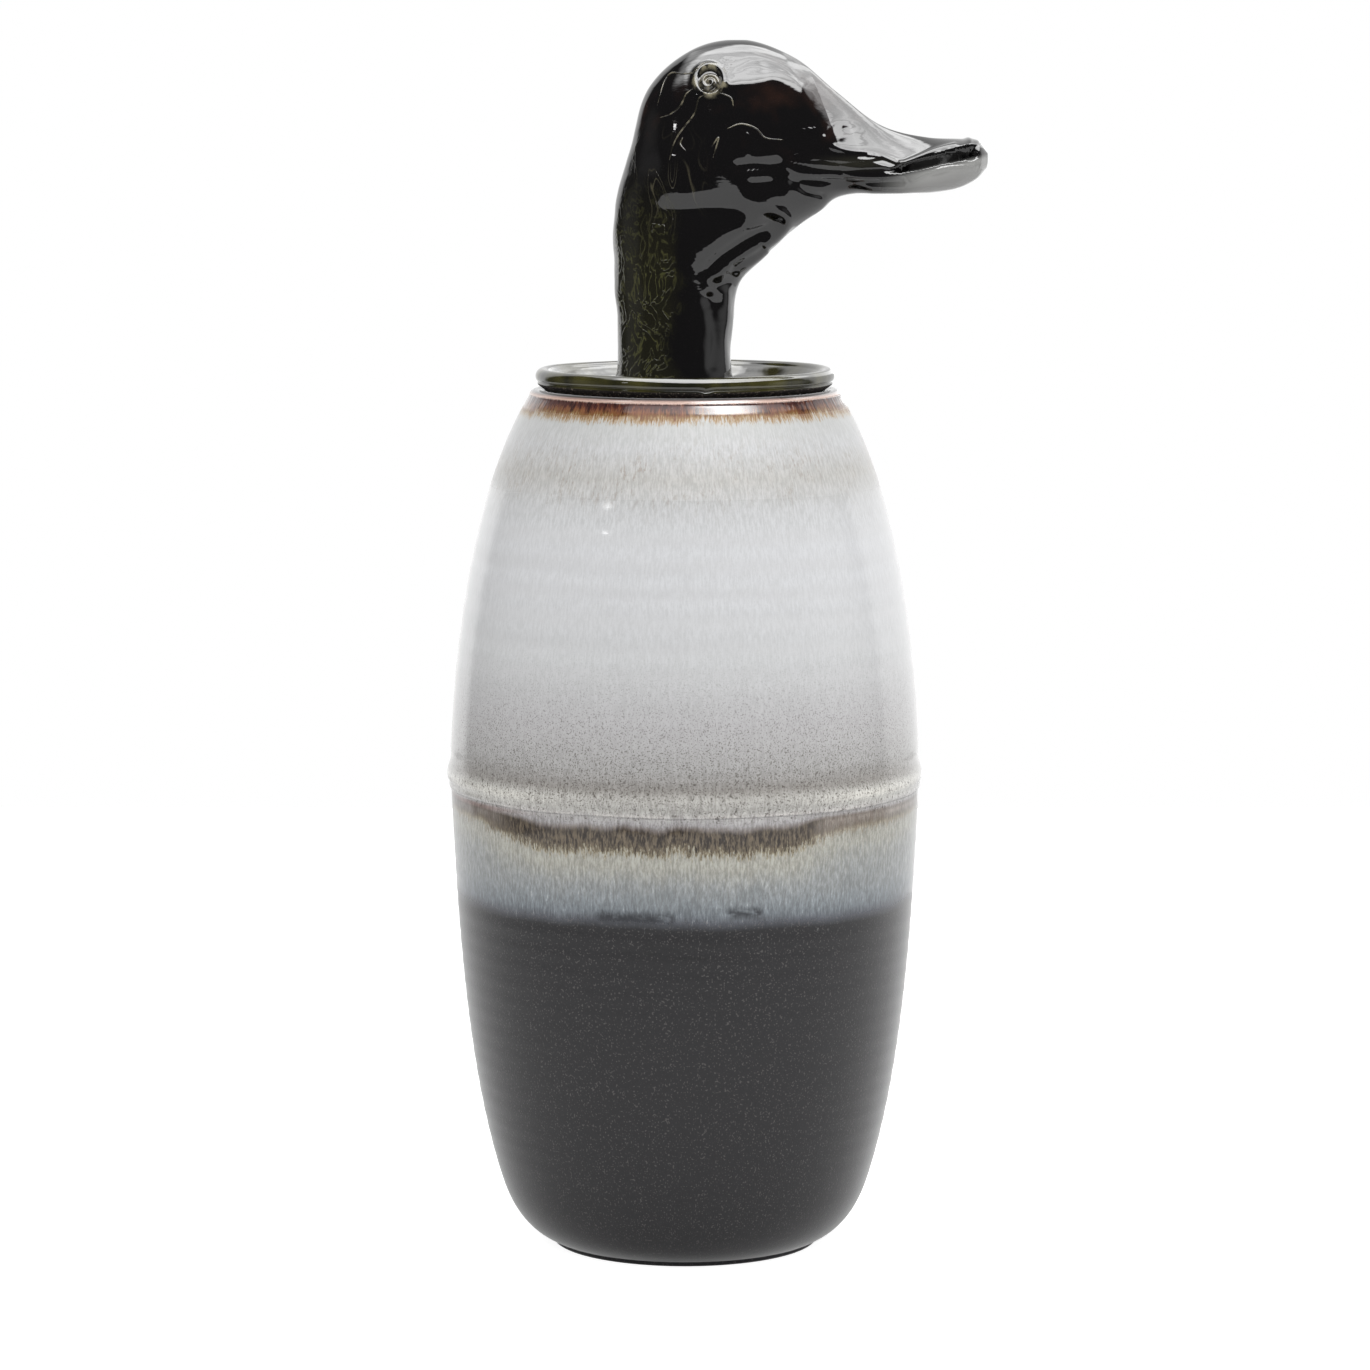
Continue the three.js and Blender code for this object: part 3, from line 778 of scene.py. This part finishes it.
def make_saucer(glaze, clay):
    middle, outward, normal = seat_line()
    seat_outer = middle + 3 * outward
    under = saucer_under()
    lower_centre = seat_outer + LOWER_BEAD * normal
    start = math.degrees(math.atan2(-normal[1], -normal[0]))
    lower = arc(lower_centre, LOWER_BEAD, LOWER_BEAD, start, 45, 8)
    upper = arc((LID_RADIUS - UPPER_BEAD, LID_TOP - UPPER_BEAD), UPPER_BEAD, UPPER_BEAD, -30, 153, 20)
    lip = upper[-1]
    hollow = bezier(lip, (lip[0] - 2.5, lip[1] - 1.5), (40, BIRD_FOOT + 0.4), (32, BIRD_FOOT), 18)
    floor = line((32, BIRD_FOOT), (VENT_RADIUS, BIRD_FOOT), 12)
    glazed = joined(lower, upper, hollow, floor)
    below = joined((VENT_RADIUS, under[-1][1]), under[::-1], seat_outer)
    profile = joined(glazed, below)[:-1]
    runs = [1] * 4 + [0] * (len(glazed) - 5) + [1] * (len(profile) - len(glazed) + 1)

    def move(radius, height, azimuth):
        """The edge is a little uneven, and a drip hangs from it at the front right."""
        at_edge = smooth_step(radius, 42, 48) * smooth_step(height, JAR_TOP, JAR_TOP + 3)
        uneven = 0.16 * np.sin(2 * azimuth + 0.5) + 0.08 * np.sin(5 * azimuth) - 0.24
        on_bead = smooth_step(radius, 46.8, 47.6) * smooth_step(height, JAR_TOP + 4, JAR_TOP + 2.6)
        drip = np.exp(-((np.degrees(azimuth) - 278) / 1.8) ** 2) * on_bead
        return radius + 0.25 * drip, height + at_edge * uneven - 0.75 * drip

    return lathe("saucer", profile, [glaze, clay], move, runs)


def make_flange(clay):
    """The ring under the saucer, whose top edge follows the underside."""
    inner = FLANGE_RADIUS - FLANGE_THICKNESS
    under = saucer_under()[::-1]
    across = np.linspace(inner, FLANGE_RADIUS, 8)
    top = np.stack([across, np.interp(across, under[:, 0], under[:, 1]) - 0.1], axis=1)
    bottom = joined(
        arc((inner + 1.2, FLANGE_BOTTOM + 1.2), 1.2, 1.2, 180, 270, 5),
        arc((FLANGE_RADIUS - 1.2, FLANGE_BOTTOM + 1.2), 1.2, 1.2, -90, 0, 5),
    )
    profile = joined(bottom, line((FLANGE_RADIUS, FLANGE_BOTTOM + 2), top[-1], 8)[:-1], top[::-1],
                     line(top[0], (inner, FLANGE_BOTTOM + 2), 8)[1:])

    def move(radius, height, azimuth):
        return radius - 0.12 * (1 + np.sin(height / 3.1 * 2 * math.pi + azimuth)) / 2, height

    return lathe("flange_ring", profile, [clay], move, [0] * len(profile))


# Duck: the same slices as its CAD nodes, from the foot of the neck to the tip of the bill

SLICES = [  # back x and z, front x and z, width, in hundredths of the bird's size, and the sides' sag
    (-24.3, 0, 17.2, 0, 93.2, 0),
    (-22.2, 6, 15.1, 6, 84.9, 0),
    (-22.5, 21.4, 16.2, 20.6, 85.8, 0),
    (-23.6, 36.9, 18.6, 31.7, 91.3, 0),
    (-23.3, 53.2, 25.3, 37.7, 96.3, 0.02),
    (-18.2, 69.3, 32.9, 44, 100, 0.06),
    (-11.6, 87, 39.7, 48.7, 98.6, 0.1),
    (3.6, 97.8, 45.1, 52.1, 90.4, 0.14),
    (20.3, 100, 49.1, 55.1, 77.6, 0.18),
    (36.7, 94.7, 54.4, 56.4, 64.8, 0.24),
    (49.9, 85.4, 61.9, 56.6, 56.2, 0.3),
    (64.9, 75.8, 71.4, 56.7, 53.9, 0.25),
    (79.8, 72.6, 81.3, 56.9, 58.4, 0.1),
    (90.8, 72.2, 90.3, 58.3, 60.3, 0),
    (96.6, 71.7, 96.2, 60.9, 48.4, 0),
    (99.4, 68.8, 99.2, 63.8, 25.1, 0),
]
BIRD_BREADTH = 43.8
BIRD_HEIGHT = BIRD_TOP - BIRD_FOOT
EYE_RADIUS = 3.8
EYE_DOME = 1.7
EYE_SINK = 1.6
EYE_SLICE = 6.78
EYE_TURN = 0.8        # radians from the crown


def through(points):
    """A centripetal Catmull-Rom curve: returns its point at a place counted in given points."""
    points = np.asarray(points, float)
    ends = np.concatenate([[2 * points[0] - points[1]], points, [2 * points[-1] - points[-2]]])

    def at(place):
        place = np.atleast_1d(place)
        index = np.clip(np.floor(place).astype(int), 0, len(points) - 2)
        t = (place - index)[:, None]
        p0, p1, p2, p3 = (ends[index + k] for k in range(4))
        steps = (p1 - p0, p2 - p1, p3 - p2)
        d0, d1, d2 = (np.sqrt(np.linalg.norm(step, axis=1))[:, None] for step in steps)
        m1 = ((p1 - p0) / d0 - (p2 - p0) / (d0 + d1) + (p2 - p1) / d1) * d1
        m2 = ((p2 - p1) / d1 - (p3 - p1) / (d1 + d2) + (p3 - p2) / d2) * d1
        return (p1 + m1 * t + (3 * (p2 - p1) - 2 * m1 - m2) * t ** 2
                + (2 * (p1 - p2) + m1 + m2) * t ** 3)

    return at


BACK = through([(x * BIRD_REACH / 100, z * BIRD_HEIGHT / 100) for x, z, _, _, _, _ in SLICES])
FRONT = through([(x * BIRD_REACH / 100, z * BIRD_HEIGHT / 100) for _, _, x, z, _, _ in SLICES])
GIRTH = through([(width * BIRD_BREADTH / 200, sag) for _, _, _, _, width, sag in SLICES])


def ring_places():
    """Where the rings lie, counted in slices: the bill has the finer ones."""
    neck = np.linspace(0, 9, 9 * NECK_RINGS + 1)
    bill = np.linspace(9, len(SLICES) - 1, (len(SLICES) - 10) * BILL_RINGS + 1)
    return np.concatenate([neck, bill[1:]])


def section(roof, flat, keel, sag):
    """A ring's outline in its own plane: across and up, both within -1 and 1, evenly spaced."""
    turn = np.linspace(0, 2 * math.pi, 8 * BIRD_SIDES + 1)
    cosine = np.cos(turn)
    across = np.sin(turn)
    above = (1 - roof) * np.abs(cosine) ** flat + roof * (1 - np.abs(across) ** 1.3)
    up = np.where(cosine > 0, above, -np.abs(cosine) ** keel)
    up -= sag * across ** 2
    length = np.concatenate([[0], np.cumsum(np.hypot(np.diff(across), np.diff(up)))])
    even = np.interp(np.arange(BIRD_SIDES) / BIRD_SIDES * length[-1], length, np.arange(len(turn)))
    return np.interp(even, np.arange(len(turn)), across), np.interp(even, np.arange(len(turn)), up)


def bird_grid():
    """Points of the bird's plain skin in rings, and the place of each ring in slices."""
    place = ring_places()
    back, front, girth = BACK(place), FRONT(place), GIRTH(place)
    middle = (back + front) / 2
    half = (back - front) / 2

    # The upper bill is a roof between culmen and edge, and the lower one has upright sides
    roof = np.interp(place, [0, 8.7, 9.3, 11.6, 12.8, 15], [0, 0, 1, 1, 0, 0])
    flat = np.interp(place, [0, 12.4, 13.4, 15], [1, 1, 0.5, 0.55])
    keel = np.interp(place, [0, 9, 10, 11, 12, 13, 15], [1, 1, 0.62, 0.5, 0.66, 0.9, 1])
    outlines = [section(*bend) for bend in zip(roof, flat, keel, girth[:, 1])]
    across = np.array([outline[0] for outline in outlines])
    up = np.array([outline[1] for outline in outlines])
    x = middle[:, 0:1] + half[:, 0:1] * up
    z = middle[:, 1:2] + half[:, 1:2] * up
    y = across * girth[:, 0:1]
    return np.stack([x, y, z], axis=2), place


def grid_normals(grid):
    around = np.roll(grid, -1, axis=1) - np.roll(grid, 1, axis=1)
    along = np.gradient(grid, axis=0)
    normal = np.cross(along, around)
    return normal / np.maximum(np.linalg.norm(normal, axis=2, keepdims=True), 1e-9)


def lumps(grid, size, seed):
    """Smooth noise between -1 and 1 at each point of a grid; size is the lumps' in millimetres."""
    shift = Vector((seed * 7.3, seed * 3.1, seed * 5.7))
    flat = grid.reshape(-1, 3) / size
    values = [noise.noise(Vector(point) + shift) for point in flat]
    return np.array(values).reshape(grid.shape[:2])


# Marks of the modelling tool on both sides of the bird, as seen from the side: the path in
# millimetres from the jar's axis and above the saucer's floor, half the width, the height
BILL_MARKS = [
    # edge of the upper bill, back from the bump at its tip
    ([(70.6, 75.8), (76.1, 77.8), (81.3, 79.9), (88.2, 82.3), (93.6, 84.2)], 0.8, 0.85),
    ([(45.6, 84.5), (47.5, 82), (53.8, 80.3), (62.4, 79.3), (70.6, 76.2)], 1, 0.45),
    ([(93, 83.8), (94, 84.2)], 1.2, 0.6),
    # loop on the side below it
    ([(39.5, 78.4), (45, 77.8), (54.6, 77.1), (64, 78), (60, 78.6)], 0.45, 0.28),
    ([(35, 76), (43, 74.6), (54, 73.8), (66, 74.2)], 0.6, -0.3),
    # line of the mouth, which curls down behind its corner
    ([(35.5, 70.2), (39.5, 70.8), (50, 70), (60, 69.6), (71, 70)], 1.3, -0.9),
    ([(33.5, 75.2), (38.5, 72.8), (47, 71.9), (62, 71.6), (71, 72)], 0.7, 0.35),
    ([(36.6, 69.5), (40, 67), (45, 65.6)], 1.1, -0.6),
    # lower lip
    ([(74.4, 70.2), (79.6, 72.9), (86.5, 74.8), (94.2, 75.4)], 0.6, 0.4),
    # nostril, with a ripple round it
    ([(52.5, 87.5), (54, 87.4)], 0.8, -0.14),
    ([(55.4, 88.9), (57.2, 87.6), (55.6, 86.2)], 0.6, 0.06),
    ([(47, 86.5), (49, 89.5), (57.4, 89.6), (58.6, 86.8), (51, 84.6)], 0.7, 0.05),
    # slips of the tool at the corner
    ([(37.8, 86.9), (42.8, 87.3)], 0.5, 0.4),
    ([(35.6, 80), (38, 81)], 0.5, 0.4),
]
HEAD_MARKS = [
    # brow, with the ripples that the finger left above it
    ([(16, 107.5), (21.8, 109.7), (29, 108.9), (34.9, 105.3), (37.4, 102.3)], 0.7, -0.12),
    ([(17, 105.4), (22, 107.4), (28, 106.9), (33.4, 104.4), (38.4, 100.6)], 0.7, 0.12),
    ([(13.4, 102.4), (17, 104), (25, 104.6), (32, 103.8), (38, 100)], 2.6, 0.3),
    ([(27, 104.6), (33, 102.4), (38, 98.4)], 3.4, 0.45),
    ([(14.5, 101.4), (20, 101.8), (26, 101.8)], 2.4, 0.4),
    # cheek, and the neck below it
    ([(20, 85.6), (18.4, 82.9), (20.2, 80.2), (22.4, 82.8), (20.6, 85.5)], 0.7, 0.35),
    ([(13, 88), (22, 87.6), (31, 85.4), (38, 87.4)], 1.2, -0.15),
    ([(9, 96), (10.4, 88), (9, 82), (6.5, 76)], 1.6, -0.4),
    ([(17.5, 75.4), (22, 75.8), (28, 75.6), (30, 75.8)], 2.2, -1.2),
    ([(22.5, 69.6), (27.5, 69.9)], 1.9, -0.95),
    ([(-6, 77.6), (4, 78), (12, 76.6)], 6, 1.2),
    ([(-7, 60.4), (4, 60.8), (16, 61.2)], 5, -2.1),
    ([(21, 64), (30, 65.5)], 3.6, 0.8),
]
# Thin raised threads that the glaze left round the eye
TRAILS = [
    [(10.9, 108.9), (7.2, 109.1), (4.7, 107.7), (3.3, 106), (-0.7, 105.3), (-4.4, 105.6),
     (-6.6, 103.1), (-9.1, 95)],
    [(2.5, 100.5), (0.3, 98.7), (-1.5, 95), (-4.4, 92.5), (-8.4, 91)],
    [(7.2, 98.8), (4.7, 97.6), (3.2, 92.8), (0.3, 88.8), (-2.2, 85.5), (-4, 81.8), (-5.1, 77.4)],
    [(-0.7, 84.8), (-1.5, 82.6), (0.3, 80.4)],
    [(8.7, 81.8), (10.9, 84.8), (9.1, 78.2)],
    [(13.8, 87.7), (18.2, 89.2), (23.2, 87.7), (26.1, 84.8), (32, 84)],
    [(11.5, 99.2), (15, 97.6), (15.8, 95)],
]
THROAT_MARKS = [
    # thumb prints down the front of the neck
    ([(8.4, 31.6), (9, 30.4)], 2.4, -1.1),
    ([(13.5, 34), (14, 26), (13, 18), (13.6, 8)], 1.6, 0.45),
    ([(9, 26), (10, 18), (9.2, 10)], 1.8, -0.5),
]
# The long fold that hooks round under the throat, and a short one below it
FOLDS = [
    ([(21, 59.2), (27, 59.2), (31.4, 57.2), (29, 53.4), (23, 50.6), (17, 46.8), (12, 43.6),
      (8.6, 40), (7, 36.5)], 3, 2.6),
    ([(15, 40.2), (18.2, 42.8), (24.7, 47), (27, 49)], 1.7, -1.3),
]
EYE_MIDDLE = (8.1, 103.4)
EYE_RING = 4.7
THREAD_RADIUS = 0.3
PIT = (93.6, 79.2)
TIP_BUMP = (93.4, 83.8)


def off_path(grid, path):
    """How far points lie to the left of a path seen from the side, and how far along it, from 0 to 1."""
    curve = through(path)(np.linspace(0, len(path) - 1, 12 * len(path)))
    off = np.full(grid.shape[:2], 1e9)
    along = np.zeros(grid.shape[:2])
    for step, (start, end) in enumerate(zip(curve[:-1], curve[1:])):
        run = end - start
        x, z = grid[:, :, 0] - start[0], grid[:, :, 2] - start[1]
        share = np.clip((x * run[0] + z * run[1]) / (run @ run), 0, 1)
        distance = np.hypot(x - share * run[0], z - share * run[1])
        nearer = distance < np.abs(off)
        off = np.where(nearer, np.where(run[0] * z > run[1] * x, distance, -distance), off)
        along = np.where(nearer, (step + share) / (len(curve) - 1), along)
    return off, along


def stroke(grid, path, half_width):
    """1 along a path seen from the side, fading to 0 away from it."""
    return np.exp(-(off_path(grid, path)[0] / half_width) ** 2)


def ledge(grid, path, half_width):
    """Rises across a path from its right to its left, and eases back on both sides."""
    off, along = off_path(grid, path)
    ends = smooth_step(along, 0, 0.2) * smooth_step(along, 1, 0.8)
    return off / half_width * np.exp(-(off / half_width) ** 2) * ends


def mouth_gap(grid):
    """The bill's halves part towards the tip; 1 is the middle of the gap there."""
    x, z = grid[:, :, 0], grid[:, :, 2]
    forward = [60, 66, 70.6, 76.1, 83.9, 92, 97]
    upper = np.interp(x, forward, [74, 74.4, 75.3, 77, 79.6, 82.2, 82.2])
    lower = np.interp(x, forward, [73.2, 73, 73, 73.9, 75.9, 77.2, 77.6])
    inside = np.clip((z - lower) / (upper - lower), 0, 1)
    opening = np.sqrt(4 * inside * (1 - inside))
    along = smooth_step(x, 64, 78) * smooth_step(x, 96.8, 93.6)
    return opening * along


def lumpiness(grid, slices):
    """How uneven the skin is: least on the crown and the bill."""
    on_bill = smooth_step(slices, 8.6, 10)
    on_crown = smooth_step(grid[:, :, 2], 72, 98)
    lumpy = 0.7 * lumps(grid, 14, 1) + 0.15 * lumps(grid, 6.5, 2) + 0.03 * lumps(grid, 2.8, 3)
    calm = (1 - 0.82 * on_bill) * (1 - 0.8 * on_crown) * smooth_step(slices, 0, 2.2)
    return (lumpy - 0.18) * calm


def eye_socket(grid):
    """A raised ring round the eye, with pebbles of glaze over it."""
    x, z = grid[:, :, 0] - EYE_MIDDLE[0], grid[:, :, 2] - EYE_MIDDLE[1]
    away = np.hypot(x, z)
    ring = 0.95 * np.exp(-((away - EYE_RING) / 1) ** 2) - 0.5 * np.exp(-((away - 3.1) / 0.9) ** 2)
    pebbled = np.exp(-(np.hypot(x - 4.5, z - 4.6) / 2.6) ** 2)
    return ring + 0.42 * pebbled * lumps(grid, 1.1, 5)


def thread(path, side, skin_tree):
    """A thin trail of glaze, half sunk in one flank, along a path seen from the side."""
    curve = through(path)(np.linspace(0, len(path) - 1, 9 * len(path)))
    inwards = Vector((0, -side, 0))
    hits = [skin_tree.ray_cast(Vector((x, side * BIRD_BREADTH, z + BIRD_FOOT)), inwards) for x, z in curve]
    middle = np.array([hit[0][:] for hit in hits])
    facing = np.array([hit[1][:] for hit in hits])
    across = np.cross(np.gradient(middle, axis=0), facing)
    across /= np.linalg.norm(across, axis=1)[:, None]
    radius = THREAD_RADIUS * np.sqrt(np.sin(np.linspace(0.05, math.pi - 0.05, len(curve))))
    angle = np.arange(8) / 8 * 2 * math.pi
    rings = (middle[:, None] + (radius[:, None] * np.cos(angle))[:, :, None] * across[:, None]
             + (radius[:, None] * np.sin(angle))[:, :, None] * facing[:, None])
    return closed(rings, middle[0], middle[-1])


def make_duck(glaze, broken):
    grid, place = bird_grid()
    normal = grid_normals(grid)
    flank = smooth_step(np.hypot(normal[:, :, 0], normal[:, :, 1]), 0.3, 0.65)
    x, z = grid[:, :, 0], grid[:, :, 2]
    pit = np.hypot((x - PIT[0]) / 2.8, (z - PIT[1]) / 2.1)
    push = -np.maximum(5.2 * mouth_gap(grid), 5 * smooth_step(pit, 1.15, 0.5)) * flank
    for path, half_width, height in BILL_MARKS + HEAD_MARKS + THROAT_MARKS:
        push += height * stroke(grid, path, half_width) * flank
    for path, half_width, height in FOLDS:
        push += height * ledge(grid, path, half_width) * flank
    push += eye_socket(grid) * flank + lumpiness(grid, place[:, None])
    foot_flare = 0.9 * np.exp(-(z / 11) ** 2)
    tip_bump = 0.55 * np.exp(-((x - TIP_BUMP[0]) ** 2 + (z - TIP_BUMP[1]) ** 2) / 1.6)
    push += foot_flare
    push += tip_bump
    below_crown = smooth_step(z, BIRD_HEIGHT - 0.2, BIRD_HEIGHT - 5)
    push = np.where(push > 0, push * below_crown, push)
    grid = grid + normal * push[:, :, None]
    grid[:, :, 2] += BIRD_FOOT
    grid[:, :, 2] = np.minimum(grid[:, :, 2], BIRD_TOP)
    tip = np.array([BIRD_REACH, 0, 66.2 * BIRD_HEIGHT / 100 + BIRD_FOOT])
    vertices, faces = closed(grid, grid[0].mean(axis=0), tip)
    skin_tree = BVHTree.FromPolygons(vertices, faces)
    face_material = [0] * len(faces)
    for path in TRAILS:
        for side in (-1, 1):
            more_vertices, more_faces = thread(path, side, skin_tree)
            faces += [tuple(corner + len(vertices) for corner in face) for face in more_faces]
            vertices += more_vertices
    face_material += [1] * (len(faces) - len(face_material))
    return make_object("duck", vertices, faces, [glaze, broken], face_material)


def eye_frame(turn):
    """Middle of an eye on the skin and the way that it faces."""
    def point(slice_place, angle):
        back, front, girth = BACK(slice_place)[0], FRONT(slice_place)[0], GIRTH(slice_place)[0]
        up = (back - front) / 2
        crown = math.cos(angle) - girth[1] * math.sin(angle) ** 2
        flat = (back + front) / 2 + up * crown
        return np.array([flat[0], math.sin(angle) * girth[0], flat[1] + BIRD_FOOT])

    along = point(EYE_SLICE + 0.02, turn) - point(EYE_SLICE - 0.02, turn)
    around = point(EYE_SLICE, turn + 0.02) - point(EYE_SLICE, turn - 0.02)
    facing = np.cross(along, around)
    return point(EYE_SLICE, turn), facing / np.linalg.norm(facing)


def make_eye(name, turn, glaze):
    """A pellet of clay pressed on with a turn of the finger, which left a swirl."""
    middle, facing = eye_frame(turn)
    side = np.cross(facing, (0, 0, 1))
    side /= np.linalg.norm(side)
    upward = np.cross(side, facing)
    rings, columns = 26, 48
    share = np.linspace(0.02, 1, rings)[:, None]
    angle = np.arange(columns)[None, :] / columns * 2 * math.pi
    swirl = 0.34 * np.cos(2 * math.pi * share * EYE_RADIUS / 2.2 - angle) * np.sin(math.pi * share)
    dome = EYE_DOME * np.sqrt(np.clip(1 - share ** 2, 0, 1)) + swirl
    out = share * EYE_RADIUS
    grid = (middle + side * (out * np.cos(angle))[:, :, None] + upward * (out * np.sin(angle))[:, :, None]
            + facing * dome[:, :, None])
    rim = grid[-1] - facing * EYE_SINK
    grid = np.concatenate([grid, rim[None]])
    return make_object(name, *closed(grid, middle + facing * EYE_DOME, middle - facing * EYE_SINK), [glaze])


# Light, floor and camera

def area_light(name, place, aim, size, radiance, hidden_from):
    """A softbox, whose radiance of 1 looks white. One kind of ray doesn't see it."""
    data = bpy.data.lights.new(name, "AREA")
    data.shape = "RECTANGLE"
    data.size, data.size_y = size
    data.energy = radiance * size[0] * size[1] * math.pi
    lamp = placed(name, data)
    lamp.location = place
    lamp.rotation_euler = (Vector(aim) - Vector(place)).to_track_quat("-Z", "Y").to_euler()
    setattr(lamp, hidden_from, False)


def make_floor():
    """A sheet of white paper that keeps the object's shadow and otherwise renders white."""
    mesh = bpy.data.meshes.new("floor")
    side, front, back = 0.75, -0.8, 1
    corner_points = [(-side, front, 0), (side, front, 0), (side, back, 0), (-side, back, 0)]
    mesh.from_pydata(corner_points, [], [(0, 1, 2, 3)])
    paper = Glaze("floor_paper")
    paper.set(Base_Color=(0.5, 0.5, 0.5, 1), Roughness=0.9)
    glow = paper.new("Emission")
    paper.link(paper.times(paper.new("LightPath").outputs["Is Camera Ray"], 0.86), glow.inputs["Strength"])
    both = paper.new("AddShader")
    paper.link(paper.shader.outputs[0], both.inputs[0])
    paper.link(glow.outputs[0], both.inputs[1])
    paper.link(both.outputs[0], paper.tree.nodes["Material Output"].inputs["Surface"])
    mesh.materials.append(paper.material)
    placed("floor", mesh)


AMBIENT = 0.75
TOWARDS_CAMERA = (0, -0.992, 0.122)
KEY_MIDDLE = (0.13, 0.65)      # how far right and up a skin faces that mirrors it
KEY_HALF_SIZE = (0.5, 0.23)


def overhead_panels(nodes, direction):
    """Panels that only gloss shows, placed by how far right and up a skin faces to mirror them forwards."""
    facing = nodes.vector("NORMALIZE", nodes.vector("ADD", direction, TOWARDS_CAMERA))
    rightwards, _, upwards = nodes.parts(facing)
    off = [nodes.times(nodes.add(value, -middle), 1 / half_size)
           for value, middle, half_size in zip((rightwards, upwards), KEY_MIDDLE, KEY_HALF_SIZE)]
    off_middle = nodes.vector("LENGTH", nodes.whole(*off, 0))
    key = nodes.times(nodes.between(off_middle, 1.06, 0.9), nodes.between(rightwards, 0.15, 0.55, 6.4, 4.4))
    wide = nodes.times(nodes.between(upwards, 0.5, 0.6), nodes.between(upwards, 0.78, 0.95, 2.3, 0.9),
                       nodes.between(rightwards, -0.45, -0.36))
    streaks = nodes.noise(nodes.whole(nodes.times(rightwards, 1.5), nodes.times(upwards, 16), 0), 1, 2)
    return nodes.times(nodes.highest(key, wide), nodes.between(streaks, 0.35, 0.6, 0.62, 1.05))


def make_world():
    """Even light all round. Gloss shows white paper behind, a dark room in front and panels overhead."""
    world = bpy.data.worlds.new("studio")
    world.use_nodes = True
    bpy.context.scene.world = world
    nodes = Nodes(world.node_tree)
    direction = nodes.new("TexCoord").outputs["Generated"]
    x, y, z = nodes.parts(direction)
    aside = nodes.highest(nodes.times(x, 0.25), nodes.times(x, 0.1))
    paper = nodes.between(nodes.add(y, aside, nodes.times(z, 0.2)), 0.55, 0.71)
    sides = nodes.highest(nodes.between(x, 0.88, 1, 0, 0.32), nodes.between(x, -0.88, -1, 0, 0.08))
    room = nodes.add(sides, 0.05)
    gloss = nodes.highest(paper, overhead_panels(nodes, direction), room)
    ray = nodes.new("LightPath").outputs
    light = nodes.math("MULTIPLY_ADD", nodes.add(gloss, -AMBIENT), ray["Is Glossy Ray"], AMBIENT)
    background = nodes.tree.nodes["Background"].inputs
    strength = nodes.highest(ray["Is Camera Ray"], ray["Is Transmission Ray"], light)
    nodes.link(strength, background["Strength"])
    background["Color"].default_value = (1, 1, 1, 1)


def make_lights():
    """Softboxes that gloss doesn't show, and a small lamp for the catch light, which only gloss shows."""
    for name, place, aim, size, radiance in (
            ("ceiling", (0, 0.2, 1.6), (0, 0.2, 0), (2, 1.2), 1),
            ("key", (0.45, -0.6, 1.6), (0.45, -0.6, 0), (0.9, 1), 2.8),
            ("left", (-2.2, -0.2, 0.6), (0, 0, 0.2), (1, 1), 2.2),
            ("right", (2.2, -0.2, 0.6), (0, 0, 0.2), (1, 1), 4),
            ("fill", (0, -2.6, 0.9), (0, 0, 0.2), (2.4, 1.2), 3)):
        area_light(name, place, aim, size, radiance, "visible_glossy")
    area_light("catch", (-1.11, -1.01, 0.97), (0, 0, 0.24), (0.12, 0.06), 10, "visible_diffuse")


def make_camera():
    data = bpy.data.cameras.new("camera")
    data.lens = 143.9
    data.sensor_width = 36
    camera = placed("camera", data)
    camera.location = (0, -1.8152, 0.4126)
    downwards = 7.05
    camera.rotation_euler = (math.radians(90 - downwards), 0, 0)
    bpy.context.scene.camera = camera


def dress(piece, body, slot, *nodes):
    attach(piece, body)
    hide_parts(*nodes)
    return piece


def main():
    glaze, inside, clay = jar_glaze(), inside_glaze(), bare_clay()
    lid, bird, eye = lid_glaze(), duck_glaze(), eye_glaze()
    dress(make_lower_section(glaze, inside, clay), "jar", "charcoal_clay", "jar_lower_section")
    dress(make_upper_section(glaze, inside), "jar", "pale_glaze", "jar_upper_section", "joint_ridge")
    dress(make_saucer(lid, clay), "lid", "lid_glaze", "lid_saucer")
    dress(make_flange(clay), "lid_ring", "bare_clay", "lid_flange")
    dress(make_duck(bird, eye), "lid", "duck_glaze", "duck_neck", "duck_head", "upper_bill", "lower_bill")
    dress(make_eye("eye_left", EYE_TURN, eye), "lid", "eye_glaze", "left_eye")
    dress(make_eye("eye_right", -EYE_TURN, eye), "lid", "eye_glaze", "right_eye")
    make_floor()
    make_world()
    make_lights()
    make_camera()
    bpy.context.scene.view_settings.view_transform = "Standard"


main()

bpy.context.view_layer.update()
